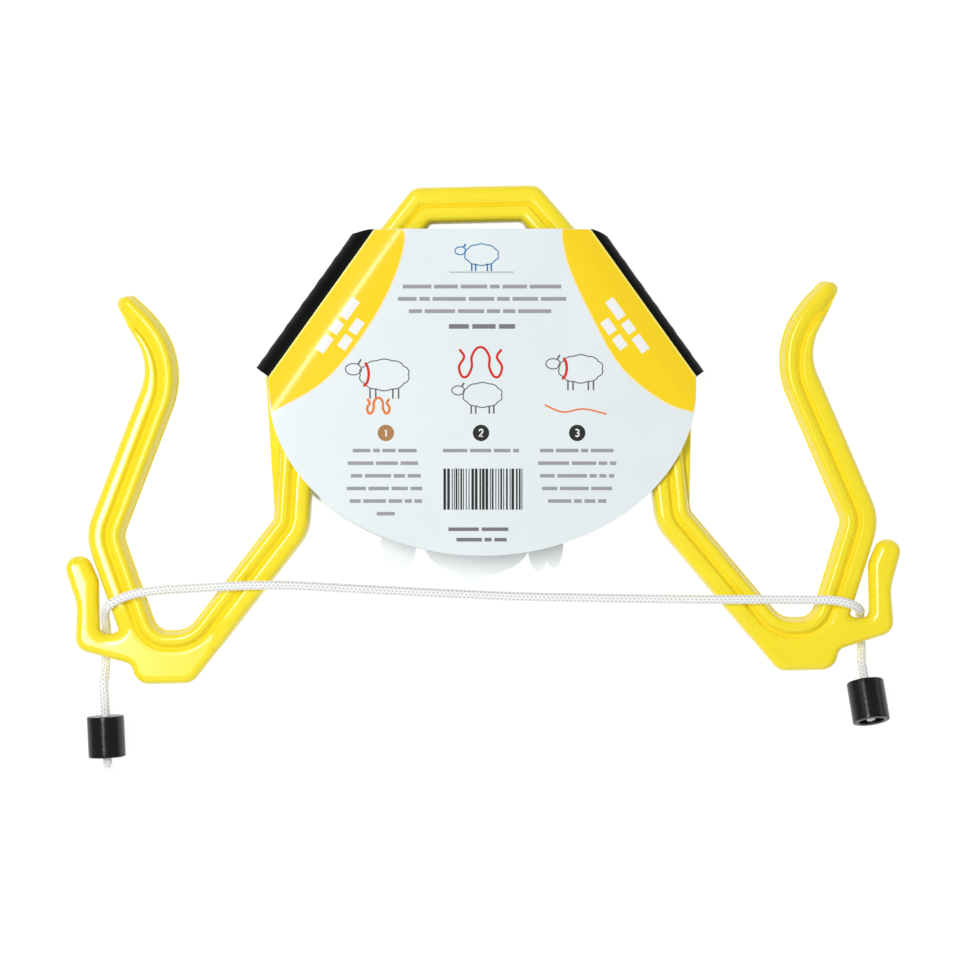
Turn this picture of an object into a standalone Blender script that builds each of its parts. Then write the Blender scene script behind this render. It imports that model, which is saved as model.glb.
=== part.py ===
"""Sheep restrainer with its cord, two stops and the folded card sleeve.

The yoke is one moulded bar with two ridges: an arm, a leg slot, an arch leg and half the
handle on each side, with a base plate, a hooked finger and a shoulder web moulded on. It
lies on its back, +Y towards the handle and +Z up, all sizes in metres. The origin is on the
table, under the middle of yoke and sleeve. X runs from the yoke's own centre line, and the
lengths named _Y below run up from the lower edge of the base plates.
"""

import math
from dataclasses import dataclass, replace

import bmesh
import bpy
import numpy as np
from mathutils import Vector

# Clearances
GAP = 0.0003
FLOOR_GAP = 0.0001

# Yoke bar
FRAME_HEIGHT = 0.2757
FRAME_THICKNESS = 0.0200
BAR_WIDTH = 0.0207
LIP_THICKNESS = 0.0020
GROOVE_DEPTH = 0.0024
GROOVE_OFFSET = 0.0004
SLOT_WALL = 0.0035
ARCH_WALL = 0.0017
NECK_WALL = 0.0014
RIDGE_DROP = 0.0030
RIDGE_FADE_ARM = 0.34
RIDGE_FADE_NECK = 0.26
LEAST_RADIUS = 0.0050
TIP_CAP_DEGREES = (28, 54, 76)
TIP_CAP_FLATNESS = 0.6

# Corners of the bar's centre line, from the handle to the arm tip, and their radii
HANDLE_CORNER_X = 0.0302
HANDLE_RADIUS = 0.0060
SHOULDER_X = 0.0993
SHOULDER_Y = 0.1812
SHOULDER_RADIUS = 0.0180
FOOT_X = 0.1070
FOOT_Y = 0.0872
FOOT_RADIUS = 0.0160
SLOT_INNER_X = 0.1617
SLOT_INNER_RADIUS = 0.0245
SLOT_OUTER_X = 0.1909
SLOT_OUTER_RADIUS = 0.0195
SLOT_FLOOR_Y = 0.0195
KNEE_X = 0.2125
KNEE_Y = 0.0839
KNEE_RADIUS = 0.0200
BEND_X = 0.1730
BEND_Y = 0.1806
BEND_RADIUS = 0.0400
TIP_X = 0.1958
TIP_Y = 0.2130
TIP_WIDTH = 0.0118
TAPER_SHARE = 0.74
TAPER_WIDTH = 0.0156

# Base plate and finger
BASE_TOP_DROP = 0.0022
BASE_THICKNESS = 0.0124
BASE_EDGE = 0.0040
BASE_END_X = 0.1960
BASE_STEP_X = 0.1988
BASE_STEP_Y = 0.0114
BASE_INNER_RADIUS = 0.0090
BASE_OUTER_RADIUS = 0.0095
BASE_STEP_RADIUS = 0.0055
HEEL_Y = 0.0206
HEEL_RADIUS = 0.0080
FINGER_X = 0.2160
FINGER_WIDTH = 0.0125
FINGER_TOP_Y = 0.0726
FINGER_BEND_Y = 0.0454
FINGER_BEND_RADIUS = 0.0250
FINGER_CHEEK_Y = 0.0590
FINGER_CHEEK_RADIUS = 0.0120
FINGER_TIP_WIDTH = 0.0147
FINGER_TIP_LEAN = 0.0060
FINGER_TIP_RADIUS = 0.0070
NOTCH_FLOOR_Y = 0.0288
NOTCH_RADIUS = 0.0040
NOTCH_ARM_RADIUS = 0.0060
NOTCH_ARM_SET = 0.0008
HEEL_SET = 0.0014
# How far up the neck leg and the arm a base plate runs from the slot's corners
BASE_NECK_REACH = 0.0060
BASE_NECK_ROOT = 0.0160
BASE_NECK_INSET = 0.0004
BASE_ARM_REACH = 0.0210
BASE_ARM_ROOT = 0.0190
BASE_ARM_INSET = 0.0045
# A hidden edge lies this share of the bar's half width in from its centre line
HIDDEN_SHARE = 0.4

# Shoulder web
WEB_THICKNESS = 0.0040
WEB_EDGE = 0.0012
WEB_CORNER_Y = 0.1714
WEB_RADIUS = 0.0070
WEB_INSET = 0.0006
WEB_SLOPE_ROOT = 0.0060
WEB_SLOPE_REACH = 0.0020
WEB_LEG_REACH = 0.0030
WEB_ROOT_SHARE = 0.2
WEB_LEG_SHARE = 0.6

# Card sleeve
CARD_THICKNESS = 0.0005
CARD_TOP_DROP = 0.0250
CARD_TOP_OUT = 0.0036
CARD_FOOT_DROP = 0.0032
CARD_FOOT_IN = 0.0006
CARD_SIDE = 0.0062
CARD_BOTTOM_Y = 0.0684
SLEEVE_TURN = math.radians(-1.2)
NEAR_SHIFT_X = 0.0018
FAR_SHIFT_X = -0.0024
LOBE_TOP_Y = 0.0750
GUSSET_REACH = 0.0093
GUSSET_TOP_CUT = 0.0088

# The lobes cut along the far panel's lower edge: middle, half width and lowest point, in mm
LOBES_MM = [
    (-47.3, 6.0, 63.9),
    (-39.2, 5.9, 61.4),
    (1.1, 30.0, 56.4),
    (-1.6, 13.4, 53.4),
    (35.9, 6.2, 59.0),
    (44.6, 5.4, 60.7),
]

# Cord
CORD_DIAMETER = 0.0050

# Stops and knots
STOP_DIAMETER = 0.0208
STOP_LENGTH = 0.0230
STOP_BORE = 0.0143
STOP_END_WALL = 0.0035
STOP_HOLE_CLEARANCE = 0.0004
STOP_CHAMFER = 0.0004
KNOT_DIAMETER = 0.0116
KNOT_LENGTH = 0.0118
LEFT_STOP_TOP = (-0.2143, -0.01765)
LEFT_STOP_TURN = math.radians(1.5)
LEFT_END_PROUD = 0.0040
RIGHT_STOP_TOP = (0.2129, -0.00715)
RIGHT_STOP_TURN = math.radians(5.7)
RIGHT_STOP_TIP = math.radians(18.5)
RIGHT_STOP_LIFT = 0.0033
RIGHT_END_PROUD = -0.0010

# Heights that follow from the sizes above
CARD_STACK = CARD_THICKNESS + GAP
MID_Z = CARD_STACK + FRAME_THICKNESS / 2
FRAME_TOP_Z = CARD_STACK + FRAME_THICKNESS
HALF_BAR = BAR_WIDTH / 2
ORIGIN_Y = FRAME_HEIGHT / 2

# The cord's route over the yoke, chosen by hand, from the left stop to the right stop, in
# millimetres: x, the length up from the base's lower edge, and the height over the yoke's
# front face. The two tails before and after it follow the stops' axes, by these lengths.
ROUTE_MM = [
    (-213.7, 8.35, -14.5),
    (-213.7, 16.85, -17.4),
    (-213.6, 23.05, -17.8),
    (-213.3, 28.45, -16.1),
    (-212.9, 33.35, -11.9),
    (-212.7, 38.45, -6.2),
    (-211.2, 42.85, -0.8),
    (-207.0, 46.55, 2.9),
    (-197.0, 50.65, 3.7),
    (-181.5, 52.85, 2.9),
    (-162.0, 53.55, 2.1),
    (-141.0, 54.35, 3.2),
    (-122.0, 54.55, 2.9),
    (-104.0, 53.75, 1.1),
    (-80.0, 51.85, -1.7),
    (-50.0, 49.55, -4.2),
    (-15.0, 47.05, -5.4),
    (20.0, 44.85, -5.3),
    (55.0, 43.45, -3.7),
    (85.0, 42.45, -0.8),
    (106.0, 41.85, 1.7),
    (122.0, 41.45, 3.1),
    (142.0, 41.05, 3.4),
    (162.0, 40.45, 2.3),
    (182.0, 39.95, 3.2),
    (196.0, 39.25, 3.8),
    (204.6, 37.05, 2.8),
    (209.2, 34.45, -1.4),
    (211.0, 32.85, -6.8),
    (211.7, 31.85, -12.1),
    (212.1, 28.95, -16.0),
    (212.5, 24.05, -17.7),
    (212.9, 18.35, -17.7),
    (213.0, 11.35, -15.6),
]
LEFT_TAIL = (0.0, -0.009, -0.018)
RIGHT_TAIL = (-0.0125, -0.006, 0.0)
CORD_BEND_STEP = 0.0031
CORD_LONGEST_STEP = 0.0120

YELLOW = (0.93, 0.66, 0.02, 1.0)
WHITE_BRAID = (0.86, 0.87, 0.86, 1.0)
BLACK_RUBBER = (0.018, 0.019, 0.019, 1.0)
CARD_WHITE = (0.84, 0.88, 0.90, 1.0)
CARD_BLACK = (0.02, 0.022, 0.02, 1.0)


@dataclass(frozen=True)
class Corner:
    """A corner of the bar's centre line, and the bar's section there.

    wall is the width of the sloping wall on the slot side, drop is how far the outer ridge
    lies below the inner one, and steps is how many pieces its arc has.
    """

    x: float
    y: float
    radius: float = 0.0
    steps: int = 0
    wall: float = ARCH_WALL
    width: float = BAR_WIDTH
    drop: float = 0.0


def material(name, colour, roughness):
    """A Principled material."""
    made = bpy.data.materials.new(name)
    made.use_nodes = True
    shader = made.node_tree.nodes["Principled BSDF"]
    shader.inputs["Base Color"].default_value = colour
    shader.inputs["Roughness"].default_value = roughness
    return made


def show(name, mesh, finish):
    """An object of that mesh, with its material and smooth shading."""
    mesh.materials.append(finish)
    mesh.shade_smooth()
    mesh.set_sharp_from_angle(angle=math.radians(35))
    made = bpy.data.objects.new(name, mesh)
    bpy.context.scene.collection.objects.link(made)
    return made


def mesh_of(name, points, faces):
    """A mesh with its faces turned outwards."""
    work = bmesh.new()
    corners = [work.verts.new(point) for point in points]
    for face in faces:
        work.faces.new([corners[i] for i in face])
    bmesh.ops.recalc_face_normals(work, faces=work.faces)
    mesh = bpy.data.meshes.new(name)
    work.to_mesh(mesh)
    work.free()
    return mesh


def skin(name, rings, capped=True):
    """A mesh over rings of points, each ring joined to the next.

    Its two ends are closed, or, where it isn't capped, its last ring is its first.
    """
    count = len(rings[0])
    kept = rings if capped else rings[:-1]
    points = [point for ring in kept for point in ring]
    faces = []
    for row in range(len(rings) - 1):
        start, after = row * count, (row + 1) % len(kept) * count
        for k in range(count):
            n = (k + 1) % count
            faces.append((start + k, start + n, after + n, after + k))
    if capped:
        last = (len(kept) - 1) * count
        faces.append(tuple(range(count)))
        faces.append(tuple(range(last, last + count)))
    return mesh_of(name, points, faces)


def placed(x, up, z):
    """A point of the part from a length up from the base's lower edge."""
    return (x, up - ORIGIN_Y, z)


def arc_points(before, corner, after, radius, steps):
    """Points of the arc that rounds a corner, or the corner itself where steps is 0."""
    corner = np.array(corner)
    way_in = corner - np.array(before)
    way_out = np.array(after) - corner
    long_in, long_out = np.linalg.norm(way_in), np.linalg.norm(way_out)
    way_in, way_out = way_in / long_in, way_out / long_out
    turn = math.acos(max(-1.0, min(1.0, float(way_in @ way_out))))
    if steps == 0 or turn < 0.01:
        return [corner] * (steps + 1)
    tangent = min(radius * math.tan(turn / 2), 0.95 * long_in, 0.95 * long_out)
    radius = tangent / math.tan(turn / 2)
    start = corner - way_in * tangent
    middle = way_out - way_in
    centre = corner + middle / np.linalg.norm(middle) * (radius / math.cos(turn / 2))
    arm = start - centre
    side = way_in * radius
    return [
        centre + arm * math.cos(turn * k / steps) + side * math.sin(turn * k / steps)
        for k in range(steps + 1)
    ]


def rounded(corners, degrees=16):
    """A closed outline through corners (x, y, radius), its corners rounded."""
    outline = []
    count = len(corners)
    for i, (x, y, radius) in enumerate(corners):
        before, after = corners[i - 1][:2], corners[(i + 1) % count][:2]
        way_in, way_out = np.subtract((x, y), before), np.subtract(after, (x, y))
        cosine = way_in @ way_out / np.linalg.norm(way_in) / np.linalg.norm(way_out)
        turn = math.degrees(math.acos(max(-1.0, min(1.0, float(cosine)))))
        steps = max(1, round(turn / degrees)) if radius else 0
        outline += arc_points(before, (x, y), after, radius, steps)
    return np.array(outline)


def inset(outline, distance):
    """A closed outline moved into its own area by that distance, its corners mitred."""
    ways = np.roll(outline, -1, axis=0) - outline
    ways /= np.linalg.norm(ways, axis=1)[:, None]
    sides = np.stack([-ways[:, 1], ways[:, 0]], axis=1)
    x, y = outline.T
    if (x * np.roll(y, -1) - np.roll(x, -1) * y).sum() < 0:
        sides = -sides
    before = np.roll(sides, 1, axis=0)
    mitre = (before + sides) / (1 + (before * sides).sum(axis=1))[:, None]
    return outline + mitre * distance


def cushion_plate(name, outline, low, high, edge):
    """A plate between two heights whose whole edge is rounded like half an ellipse."""
    middle, half = (low + high) / 2, (high - low) / 2
    flattest = math.radians(18)
    rings = []
    for degrees in (-90, -52, -18, 18, 52, 90):
        angle = math.radians(degrees)
        ring = inset(outline, edge * (1 - math.cos(angle) / math.cos(flattest)))
        height = middle + half * math.sin(angle)
        rings.append([placed(x, y, height) for x, y in ring])
    return skin(name, rings)


def bar_corners():
    """The corners of the right half of the bar, from the arm tip to the handle."""
    floor = SLOT_FLOOR_Y
    arm_way = np.subtract((KNEE_X, KNEE_Y), (SLOT_OUTER_X, floor))
    neck_way = np.subtract((FOOT_X, FOOT_Y), (SLOT_INNER_X, floor))
    fade_arm = np.array((SLOT_OUTER_X, floor)) + arm_way * RIDGE_FADE_ARM
    fade_neck = np.array((SLOT_INNER_X, floor)) + neck_way * RIDGE_FADE_NECK
    bend = np.array((BEND_X, BEND_Y))
    taper = bend + np.subtract((TIP_X, TIP_Y), bend) * TAPER_SHARE
    slot = {"wall": SLOT_WALL}
    sunk = {"wall": SLOT_WALL, "drop": RIDGE_DROP}
    handle_y = FRAME_HEIGHT - HALF_BAR
    return [
        Corner(TIP_X, TIP_Y, wall=SLOT_WALL * TIP_WIDTH / BAR_WIDTH, width=TIP_WIDTH),
        Corner(*taper, wall=SLOT_WALL * TAPER_WIDTH / BAR_WIDTH, width=TAPER_WIDTH),
        Corner(BEND_X, BEND_Y, BEND_RADIUS, 6, **slot),
        Corner(KNEE_X, KNEE_Y, KNEE_RADIUS, 5, **slot),
        Corner(*fade_arm, **slot),
        Corner(SLOT_OUTER_X, floor, SLOT_OUTER_RADIUS, 7, **sunk),
        Corner(SLOT_INNER_X, floor, SLOT_INNER_RADIUS, 5, **sunk),
        Corner(*fade_neck, **slot),
        Corner(FOOT_X, FOOT_Y, FOOT_RADIUS, 4, **slot),
        Corner(SHOULDER_X, SHOULDER_Y, SHOULDER_RADIUS, 4),
        Corner(HANDLE_CORNER_X, handle_y, HANDLE_RADIUS, 5),
    ]


def section(corner):
    """The bar's section at a corner, as offsets from the slot side and half heights.

    It starts at the lip on the slot side, climbs the sloping wall to the first ridge, dips
    into the groove, climbs the second ridge and drops to the lip on the neck side.
    """
    half = corner.width / 2
    crest = FRAME_THICKNESS / 2
    lip = LIP_THICKNESS / 2
    scale = corner.width / BAR_WIDTH
    groove = GROOVE_OFFSET * scale
    first, last = corner.wall - half, half - NECK_WALL * scale
    inner, outer = groove - first, last - groove
    deep = crest - GROOVE_DEPTH
    flank = crest - 0.45 * GROOVE_DEPTH
    low = corner.drop
    return [
        (-half, lip),
        (-half + 0.25 * corner.wall, lip + 0.14 * (crest - lip)),
        (-half + 0.75 * corner.wall, lip + 0.64 * (crest - lip)),
        (first + 0.10 * inner, lip + 0.87 * (crest - lip)),
        (first + 0.36 * inner, crest),
        (first + 0.62 * inner, crest),
        (first + 0.86 * inner, flank),
        (groove, deep),
        (groove + 0.14 * outer, flank - low),
        (groove + 0.38 * outer, crest - low),
        (groove + 0.68 * outer, crest - low),
        (groove + 0.92 * outer, lip + 0.87 * (crest - lip) - low),
        (last + 0.60 * (half - last), lip + 0.52 * (crest - lip) - low / 2),
        (half, lip),
    ]


def right_normals(corners):
    """The mitred normal on the right of the way along the corners, at each of them."""
    places = np.array([(c.x, c.y) for c in corners])
    ways = np.diff(places, axis=0)
    ways /= np.linalg.norm(ways, axis=1)[:, None]
    sides = np.stack([ways[:, 1], -ways[:, 0]], axis=1)
    before = np.concatenate([sides[:1], sides])
    after = np.concatenate([sides, sides[-1:]])
    mitres = (before + after) / (1 + (before * after).sum(axis=1))[:, None]
    turns = before[:, 0] * after[:, 1] - before[:, 1] * after[:, 0]
    return places, mitres, turns


def bar_rings():
    """Rings of the bar's section, at every station from one arm tip to the other."""
    half = bar_corners()
    corners = half + [replace(c, x=-c.x) for c in reversed(half)]
    places, mitres, turns = right_normals(corners)
    sections = [section(c) for c in corners]
    rails = []
    for j in range(len(sections[0])):
        offsets = np.array([-s[j][0] for s in sections])
        line = places + mitres * offsets[:, None]
        flat, heights = [], []
        for k, corner in enumerate(corners):
            if 0 < k < len(corners) - 1:
                radius = corner.radius + math.copysign(offsets[k], turns[k] * offsets[k])
                radius = max(radius, LEAST_RADIUS)
                flat += arc_points(line[k - 1], line[k], line[k + 1], radius, corner.steps)
            else:
                flat.append(line[k])
            heights += [sections[k][j][1]] * (corner.steps + 1)
        rails.append([(x, y, h) for (x, y), h in zip(flat, heights, strict=True)])
    rails = np.array(rails)
    rings = []
    for station in range(rails.shape[1]):
        top = [placed(x, y, MID_Z + h) for x, y, h in rails[:, station]]
        bottom = [placed(x, y, MID_Z - h) for x, y, h in rails[::-1, station]]
        rings.append(top + bottom)
    return rings


def tip_rings(ring, towards):
    """Rings that round off an arm tip, from the bar's end ring outwards along a way."""
    ring = np.array(ring)
    centre = ring.mean(axis=0)
    centre[2] = MID_Z
    way = np.array((*towards, 0.0)) / np.linalg.norm(towards)
    rings = []
    for degrees in TIP_CAP_DEGREES:
        angle = math.radians(degrees)
        shrink, flatten = math.cos(angle), math.cos(angle) ** TIP_CAP_FLATNESS
        moved = ring - centre
        moved = moved * np.array((shrink, shrink, flatten))
        moved = moved + centre + way * (TIP_WIDTH / 2 * math.sin(angle))
        rings.append([tuple(point) for point in moved])
    return rings


def bar():
    """The bar from arm tip to arm tip, closed with rounded ends."""
    rings = bar_rings()
    way = np.subtract((TIP_X, TIP_Y), (BEND_X, BEND_Y))
    right = tip_rings(rings[0], way)
    left = tip_rings(rings[-1], way * (-1, 1))
    return skin("frame", right[::-1] + rings + left)


def line_meeting(point, way, height):
    """The x where a line through a point comes to a height."""
    return point[0] + way[0] * (height - point[1]) / way[1]


def base_outline():
    """The outline of the right base plate with its finger and cord notch.

    Its inner boundary runs inside the bar, under the ridge next to the leg slot.
    """
    hide = HIDDEN_SHARE * HALF_BAR
    neck_way = np.subtract((FOOT_X, FOOT_Y), (SLOT_INNER_X, SLOT_FLOOR_Y))
    neck_way /= np.linalg.norm(neck_way)
    neck_side = np.array((-neck_way[1], neck_way[0]))
    arm_way = np.subtract((KNEE_X, KNEE_Y), (SLOT_OUTER_X, SLOT_FLOOR_Y))
    arm_way /= np.linalg.norm(arm_way)
    arm_side = np.array((arm_way[1], -arm_way[0]))
    if neck_side[0] > 0:
        neck_side = -neck_side
    inner = np.array((SLOT_INNER_X, SLOT_FLOOR_Y))
    outer = np.array((SLOT_OUTER_X, SLOT_FLOOR_Y))
    neck_edge = inner + neck_side * (HALF_BAR - BASE_NECK_INSET)
    neck_start = neck_edge + neck_way * BASE_NECK_REACH
    neck_hidden = inner + neck_way * BASE_NECK_ROOT - neck_side * hide
    arm_edge = outer + arm_side * HALF_BAR
    notch_end = line_meeting(arm_edge, arm_way, NOTCH_FLOOR_Y) + NOTCH_ARM_SET
    arm_meet = outer + arm_way * BASE_ARM_REACH + arm_side * (HALF_BAR - BASE_ARM_INSET)
    arm_hidden = outer + arm_way * BASE_ARM_ROOT - arm_side * hide
    floor_hidden = SLOT_FLOOR_Y + hide
    finger_out = FINGER_X + FINGER_WIDTH
    tip_in = FINGER_X + FINGER_TIP_LEAN
    return rounded(
        [
            (*neck_hidden, 0.0),
            (*neck_start, 0.0),
            (line_meeting(neck_edge, neck_way, 0.0), 0.0, BASE_INNER_RADIUS),
            (BASE_END_X, 0.0, BASE_OUTER_RADIUS),
            (BASE_STEP_X, BASE_STEP_Y, BASE_STEP_RADIUS),
            (finger_out + HEEL_SET, HEEL_Y, HEEL_RADIUS),
            (finger_out, FINGER_BEND_Y, FINGER_BEND_RADIUS),
            (tip_in + FINGER_TIP_WIDTH, FINGER_TOP_Y, FINGER_TIP_RADIUS),
            (tip_in, FINGER_TOP_Y, FINGER_TIP_RADIUS),
            (FINGER_X, FINGER_CHEEK_Y, FINGER_CHEEK_RADIUS),
            (FINGER_X, NOTCH_FLOOR_Y, NOTCH_RADIUS),
            (notch_end, NOTCH_FLOOR_Y, NOTCH_ARM_RADIUS),
            (*arm_meet, 0.0),
            (*arm_hidden, 0.0),
            (line_meeting(outer - arm_side * hide, arm_way, floor_hidden), floor_hidden, 0.0),
            (line_meeting(inner - neck_side * hide, neck_way, floor_hidden), floor_hidden, 0.0),
        ]
    )


def slope_x(out, height):
    """The x, at a height, of a line along the arch's right slope, that far outside its bar's middle."""
    steepness = math.atan2(FRAME_HEIGHT - HALF_BAR - SHOULDER_Y, SHOULDER_X - HANDLE_CORNER_X)
    return SHOULDER_X + out / math.sin(steepness) - (height - SHOULDER_Y) / math.tan(steepness)


def web_outline():
    """The outline of the right shoulder web, which fills the arch's outer corner."""
    shoulder = np.array((SHOULDER_X, SHOULDER_Y))
    slope = shoulder - (HANDLE_CORNER_X, FRAME_HEIGHT - HALF_BAR)
    slope /= np.linalg.norm(slope)
    out = np.array((-slope[1], slope[0]))
    leg = np.array((FOOT_X, FOOT_Y)) - shoulder
    leg /= np.linalg.norm(leg)
    leg_out = np.array((-leg[1], leg[0]))
    root = WEB_ROOT_SHARE * HALF_BAR
    edge = HALF_BAR - WEB_INSET
    foot = np.array((FOOT_X, FOOT_Y)) - leg * WEB_LEG_REACH
    return rounded(
        [
            (*(shoulder - slope * WEB_SLOPE_ROOT + out * root), 0.0),
            (*(shoulder - slope * WEB_SLOPE_REACH + out * edge), 0.0),
            (slope_x(edge, WEB_CORNER_Y), WEB_CORNER_Y, WEB_RADIUS),
            (*(foot + leg_out * edge), 0.0),
            (*(foot + leg_out * (edge - WEB_LEG_SHARE * HALF_BAR)), 0.0),
            (*(shoulder + leg_out * root), 0.0),
        ]
    )


def mirrored(outline):
    """An outline on the other side of the centre line."""
    return outline * (-1, 1)


def join_to(target, name, mesh):
    """Unites a hidden shape with the target."""
    tool = bpy.data.objects.new(name, mesh)
    bpy.context.scene.collection.objects.link(tool)
    tool.hide_render = True
    tool.display_type = "WIRE"
    union = target.modifiers.new(name, "BOOLEAN")
    union.operation = "UNION"
    union.solver = "EXACT"
    union.object = tool


def build_frame(finish):
    """The whole yoke: the bar with its base plates and shoulder webs."""
    frame = show("frame", bar(), finish)
    plate_top = FRAME_TOP_Z - BASE_TOP_DROP
    plate_low = plate_top - BASE_THICKNESS
    base, web = base_outline(), web_outline()
    for side, turn in (("right", lambda o: o), ("left", mirrored)):
        plate = cushion_plate(f"{side}_base", turn(base), plate_low, plate_top, BASE_EDGE)
        join_to(frame, f"{side}_base", plate)
        low, high = MID_Z - WEB_THICKNESS / 2, MID_Z + WEB_THICKNESS / 2
        fill = cushion_plate(f"{side}_web", turn(web), low, high, WEB_EDGE)
        join_to(frame, f"{side}_web", fill)


def card_corners():
    """A panel's right corners: at the top, and at the foot of the slope, by the shoulder web."""
    top_y = FRAME_HEIGHT - CARD_TOP_DROP
    foot_x = slope_x(HALF_BAR - WEB_INSET, WEB_CORNER_Y) - CARD_FOOT_IN
    return (slope_x(HALF_BAR + CARD_TOP_OUT, top_y), top_y), (foot_x, WEB_CORNER_Y - CARD_FOOT_DROP)


def card_curve(x):
    """The lower edge of a panel at x: half an ellipse."""
    half, foot = card_corners()[1]
    widest = foot - CARD_SIDE
    share = min(1.0, abs(x) / half)
    return widest - (widest - CARD_BOTTOM_Y) * math.sqrt(1 - share**2)


def lobed_edge(x):
    """The far panel's lower edge at x: the lowest of the ellipse and its lobes."""
    lowest = card_curve(x)
    for middle, half, low in LOBES_MM:
        share = abs(x * 1000 - middle) / half
        if share < 1:
            depth = (LOBE_TOP_Y - low / 1000) * math.sqrt(1 - share**2)
            lowest = min(lowest, LOBE_TOP_Y - depth)
    return lowest


def card_outline(lobed):
    """A panel's outline: straight top, slopes, short sides and half an ellipse below."""
    steps = 40
    (top_x, top_y), (foot_x, foot_y) = card_corners()
    across = [foot_x * math.cos(math.pi * k / steps) for k in range(steps + 1)]
    edge = card_curve
    if lobed:
        edge = lobed_edge
        for middle, half, _ in LOBES_MM:
            for degrees in range(0, 181, 20):
                across.append((middle + 0.999 * half * math.cos(math.radians(degrees))) / 1000)
        across.sort(reverse=True)
        across = [x for x, after in zip(across, across[1:] + [-1.0], strict=True) if x - after > 4e-4]
    upper = [(-foot_x, foot_y), (-top_x, top_y), (top_x, top_y), (foot_x, foot_y)]
    return [(x, edge(x)) for x in across] + upper


def hang(made, sleeve, shift):
    """Puts a piece of the sleeve in its place on the sleeve's empty."""
    made.parent = sleeve
    made.location = (shift, 0.0, 0.0)


def build_panel(name, sleeve, shift, low, lobed, finish):
    """A flat card panel between two heights."""
    outline = card_outline(lobed)
    pivot = card_corners()[1][1]
    heights = (low, low + CARD_THICKNESS)
    rings = [[(x, y - pivot, z) for x, y in outline] for z in heights]
    hang(show(name, skin(name, rings), finish), sleeve, shift)


def gusset_arc(near_to_far, reach, steps=10):
    """A gusset's section: an arc from the near crease to the far one through its bulge.

    near_to_far is how far the far crease lies outside the near one. The answer is points
    (outward, height) and the way out of the arc at each of them.
    """
    near = np.array((GAP, FRAME_TOP_Z + GAP + CARD_THICKNESS / 2))
    far = np.array((near_to_far + GAP, CARD_THICKNESS / 2))
    chord = far - near
    long = np.linalg.norm(chord)
    across = np.array((-chord[1], chord[0])) / long
    bulge = reach - (near[0] + far[0]) / 2
    radius = (long**2 / 4 + bulge**2) / (2 * bulge)
    centre = (near + far) / 2 + across * (bulge - radius)
    first = math.atan2(*(near - centre)[::-1])
    last = math.atan2(*(far - centre)[::-1])
    angles = first + (last - first) * np.arange(steps + 1) / steps
    ways = np.stack([np.cos(angles), np.sin(angles)], axis=1)
    return centre + ways * radius, ways


def build_gusset(name, sleeve, side, finish):
    """The black gusset that joins the two panels along one slope."""
    near, foot = np.array(card_corners())
    way = (foot - near) / np.linalg.norm(foot - near)
    out = np.array((-way[1], way[0]))
    far_shift = side * (FAR_SHIFT_X - NEAR_SHIFT_X) * out[0]
    reach = GUSSET_REACH + min(0.0, far_shift)
    arc, ways = gusset_arc(far_shift, reach)
    rings = []
    length = np.linalg.norm(foot - near)
    for share in (0.0, 0.5, 1.0):
        outer, inner = [], []
        for k, ((q, z), (dq, dz)) in enumerate(zip(arc, ways, strict=True)):
            cut = GUSSET_TOP_CUT * math.sin(math.pi * k / (len(arc) - 1))
            along = near + way * (cut + (length - cut) * share)
            for row, half in ((outer, 0.5), (inner, -0.5)):
                x, y = along + out * (q + dq * half * CARD_THICKNESS)
                height = max(z + dz * half * CARD_THICKNESS, 0.0)
                row.append((side * x, y - foot[1], height))
        rings.append(outer + inner[::-1])
    hang(show(name, skin(name, rings), finish), sleeve, NEAR_SHIFT_X)


def turned(name, profile, start, way, finish, sides, looped=False):
    """A solid turned about its own Z, set on an axis. profile is (radius, length along it).

    A looped profile closes on itself round a bore, and any other is capped at both ends.
    """
    angles = [2 * math.pi * k / sides for k in range(sides)]
    rings = [[(r * math.cos(t), r * math.sin(t), z) for t in angles] for r, z in profile]
    if looped:
        rings.append(rings[0])
    made = show(name, skin(name, rings, capped=not looped), finish)
    made.location = start
    made.rotation_euler = Vector(way).to_track_quat("Z", "Y").to_euler()
    return made


def bush_profile():
    """A stop's section: a small hole through its top wall and a wide bore below it."""
    outer, bore = STOP_DIAMETER / 2, STOP_BORE / 2
    hole = CORD_DIAMETER / 2 + STOP_HOLE_CLEARANCE
    return [
        (hole, 0.0),
        (outer - STOP_CHAMFER, 0.0),
        (outer, STOP_CHAMFER),
        (outer, STOP_LENGTH - STOP_CHAMFER),
        (outer - STOP_CHAMFER, STOP_LENGTH),
        (bore, STOP_LENGTH),
        (bore, STOP_END_WALL),
        (hole, STOP_END_WALL),
    ]


def knot_profile(proud):
    """The outline of a knot and the cord end that leaves it, proud of the stop's mouth."""
    radius, tail = KNOT_DIAMETER / 2, CORD_DIAMETER / 2
    swell = []
    for degrees in range(-75, 60, 15):
        angle = math.radians(degrees)
        along = KNOT_LENGTH / 2 * (1 + math.sin(angle))
        swell.append((radius * math.cos(angle) ** 0.8, along))
    end = STOP_LENGTH - STOP_END_WALL - GAP + proud
    swell.append((tail, KNOT_LENGTH))
    swell.append((tail, end))
    return swell


def stop_axis(top, height, turn, tip):
    """A stop's upper end and the way from there to its lower end."""
    flat = math.cos(tip)
    way = (math.sin(turn) * flat, -math.cos(turn) * flat, math.sin(tip))
    return np.array(placed(*top, height)), np.array(way)


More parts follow.
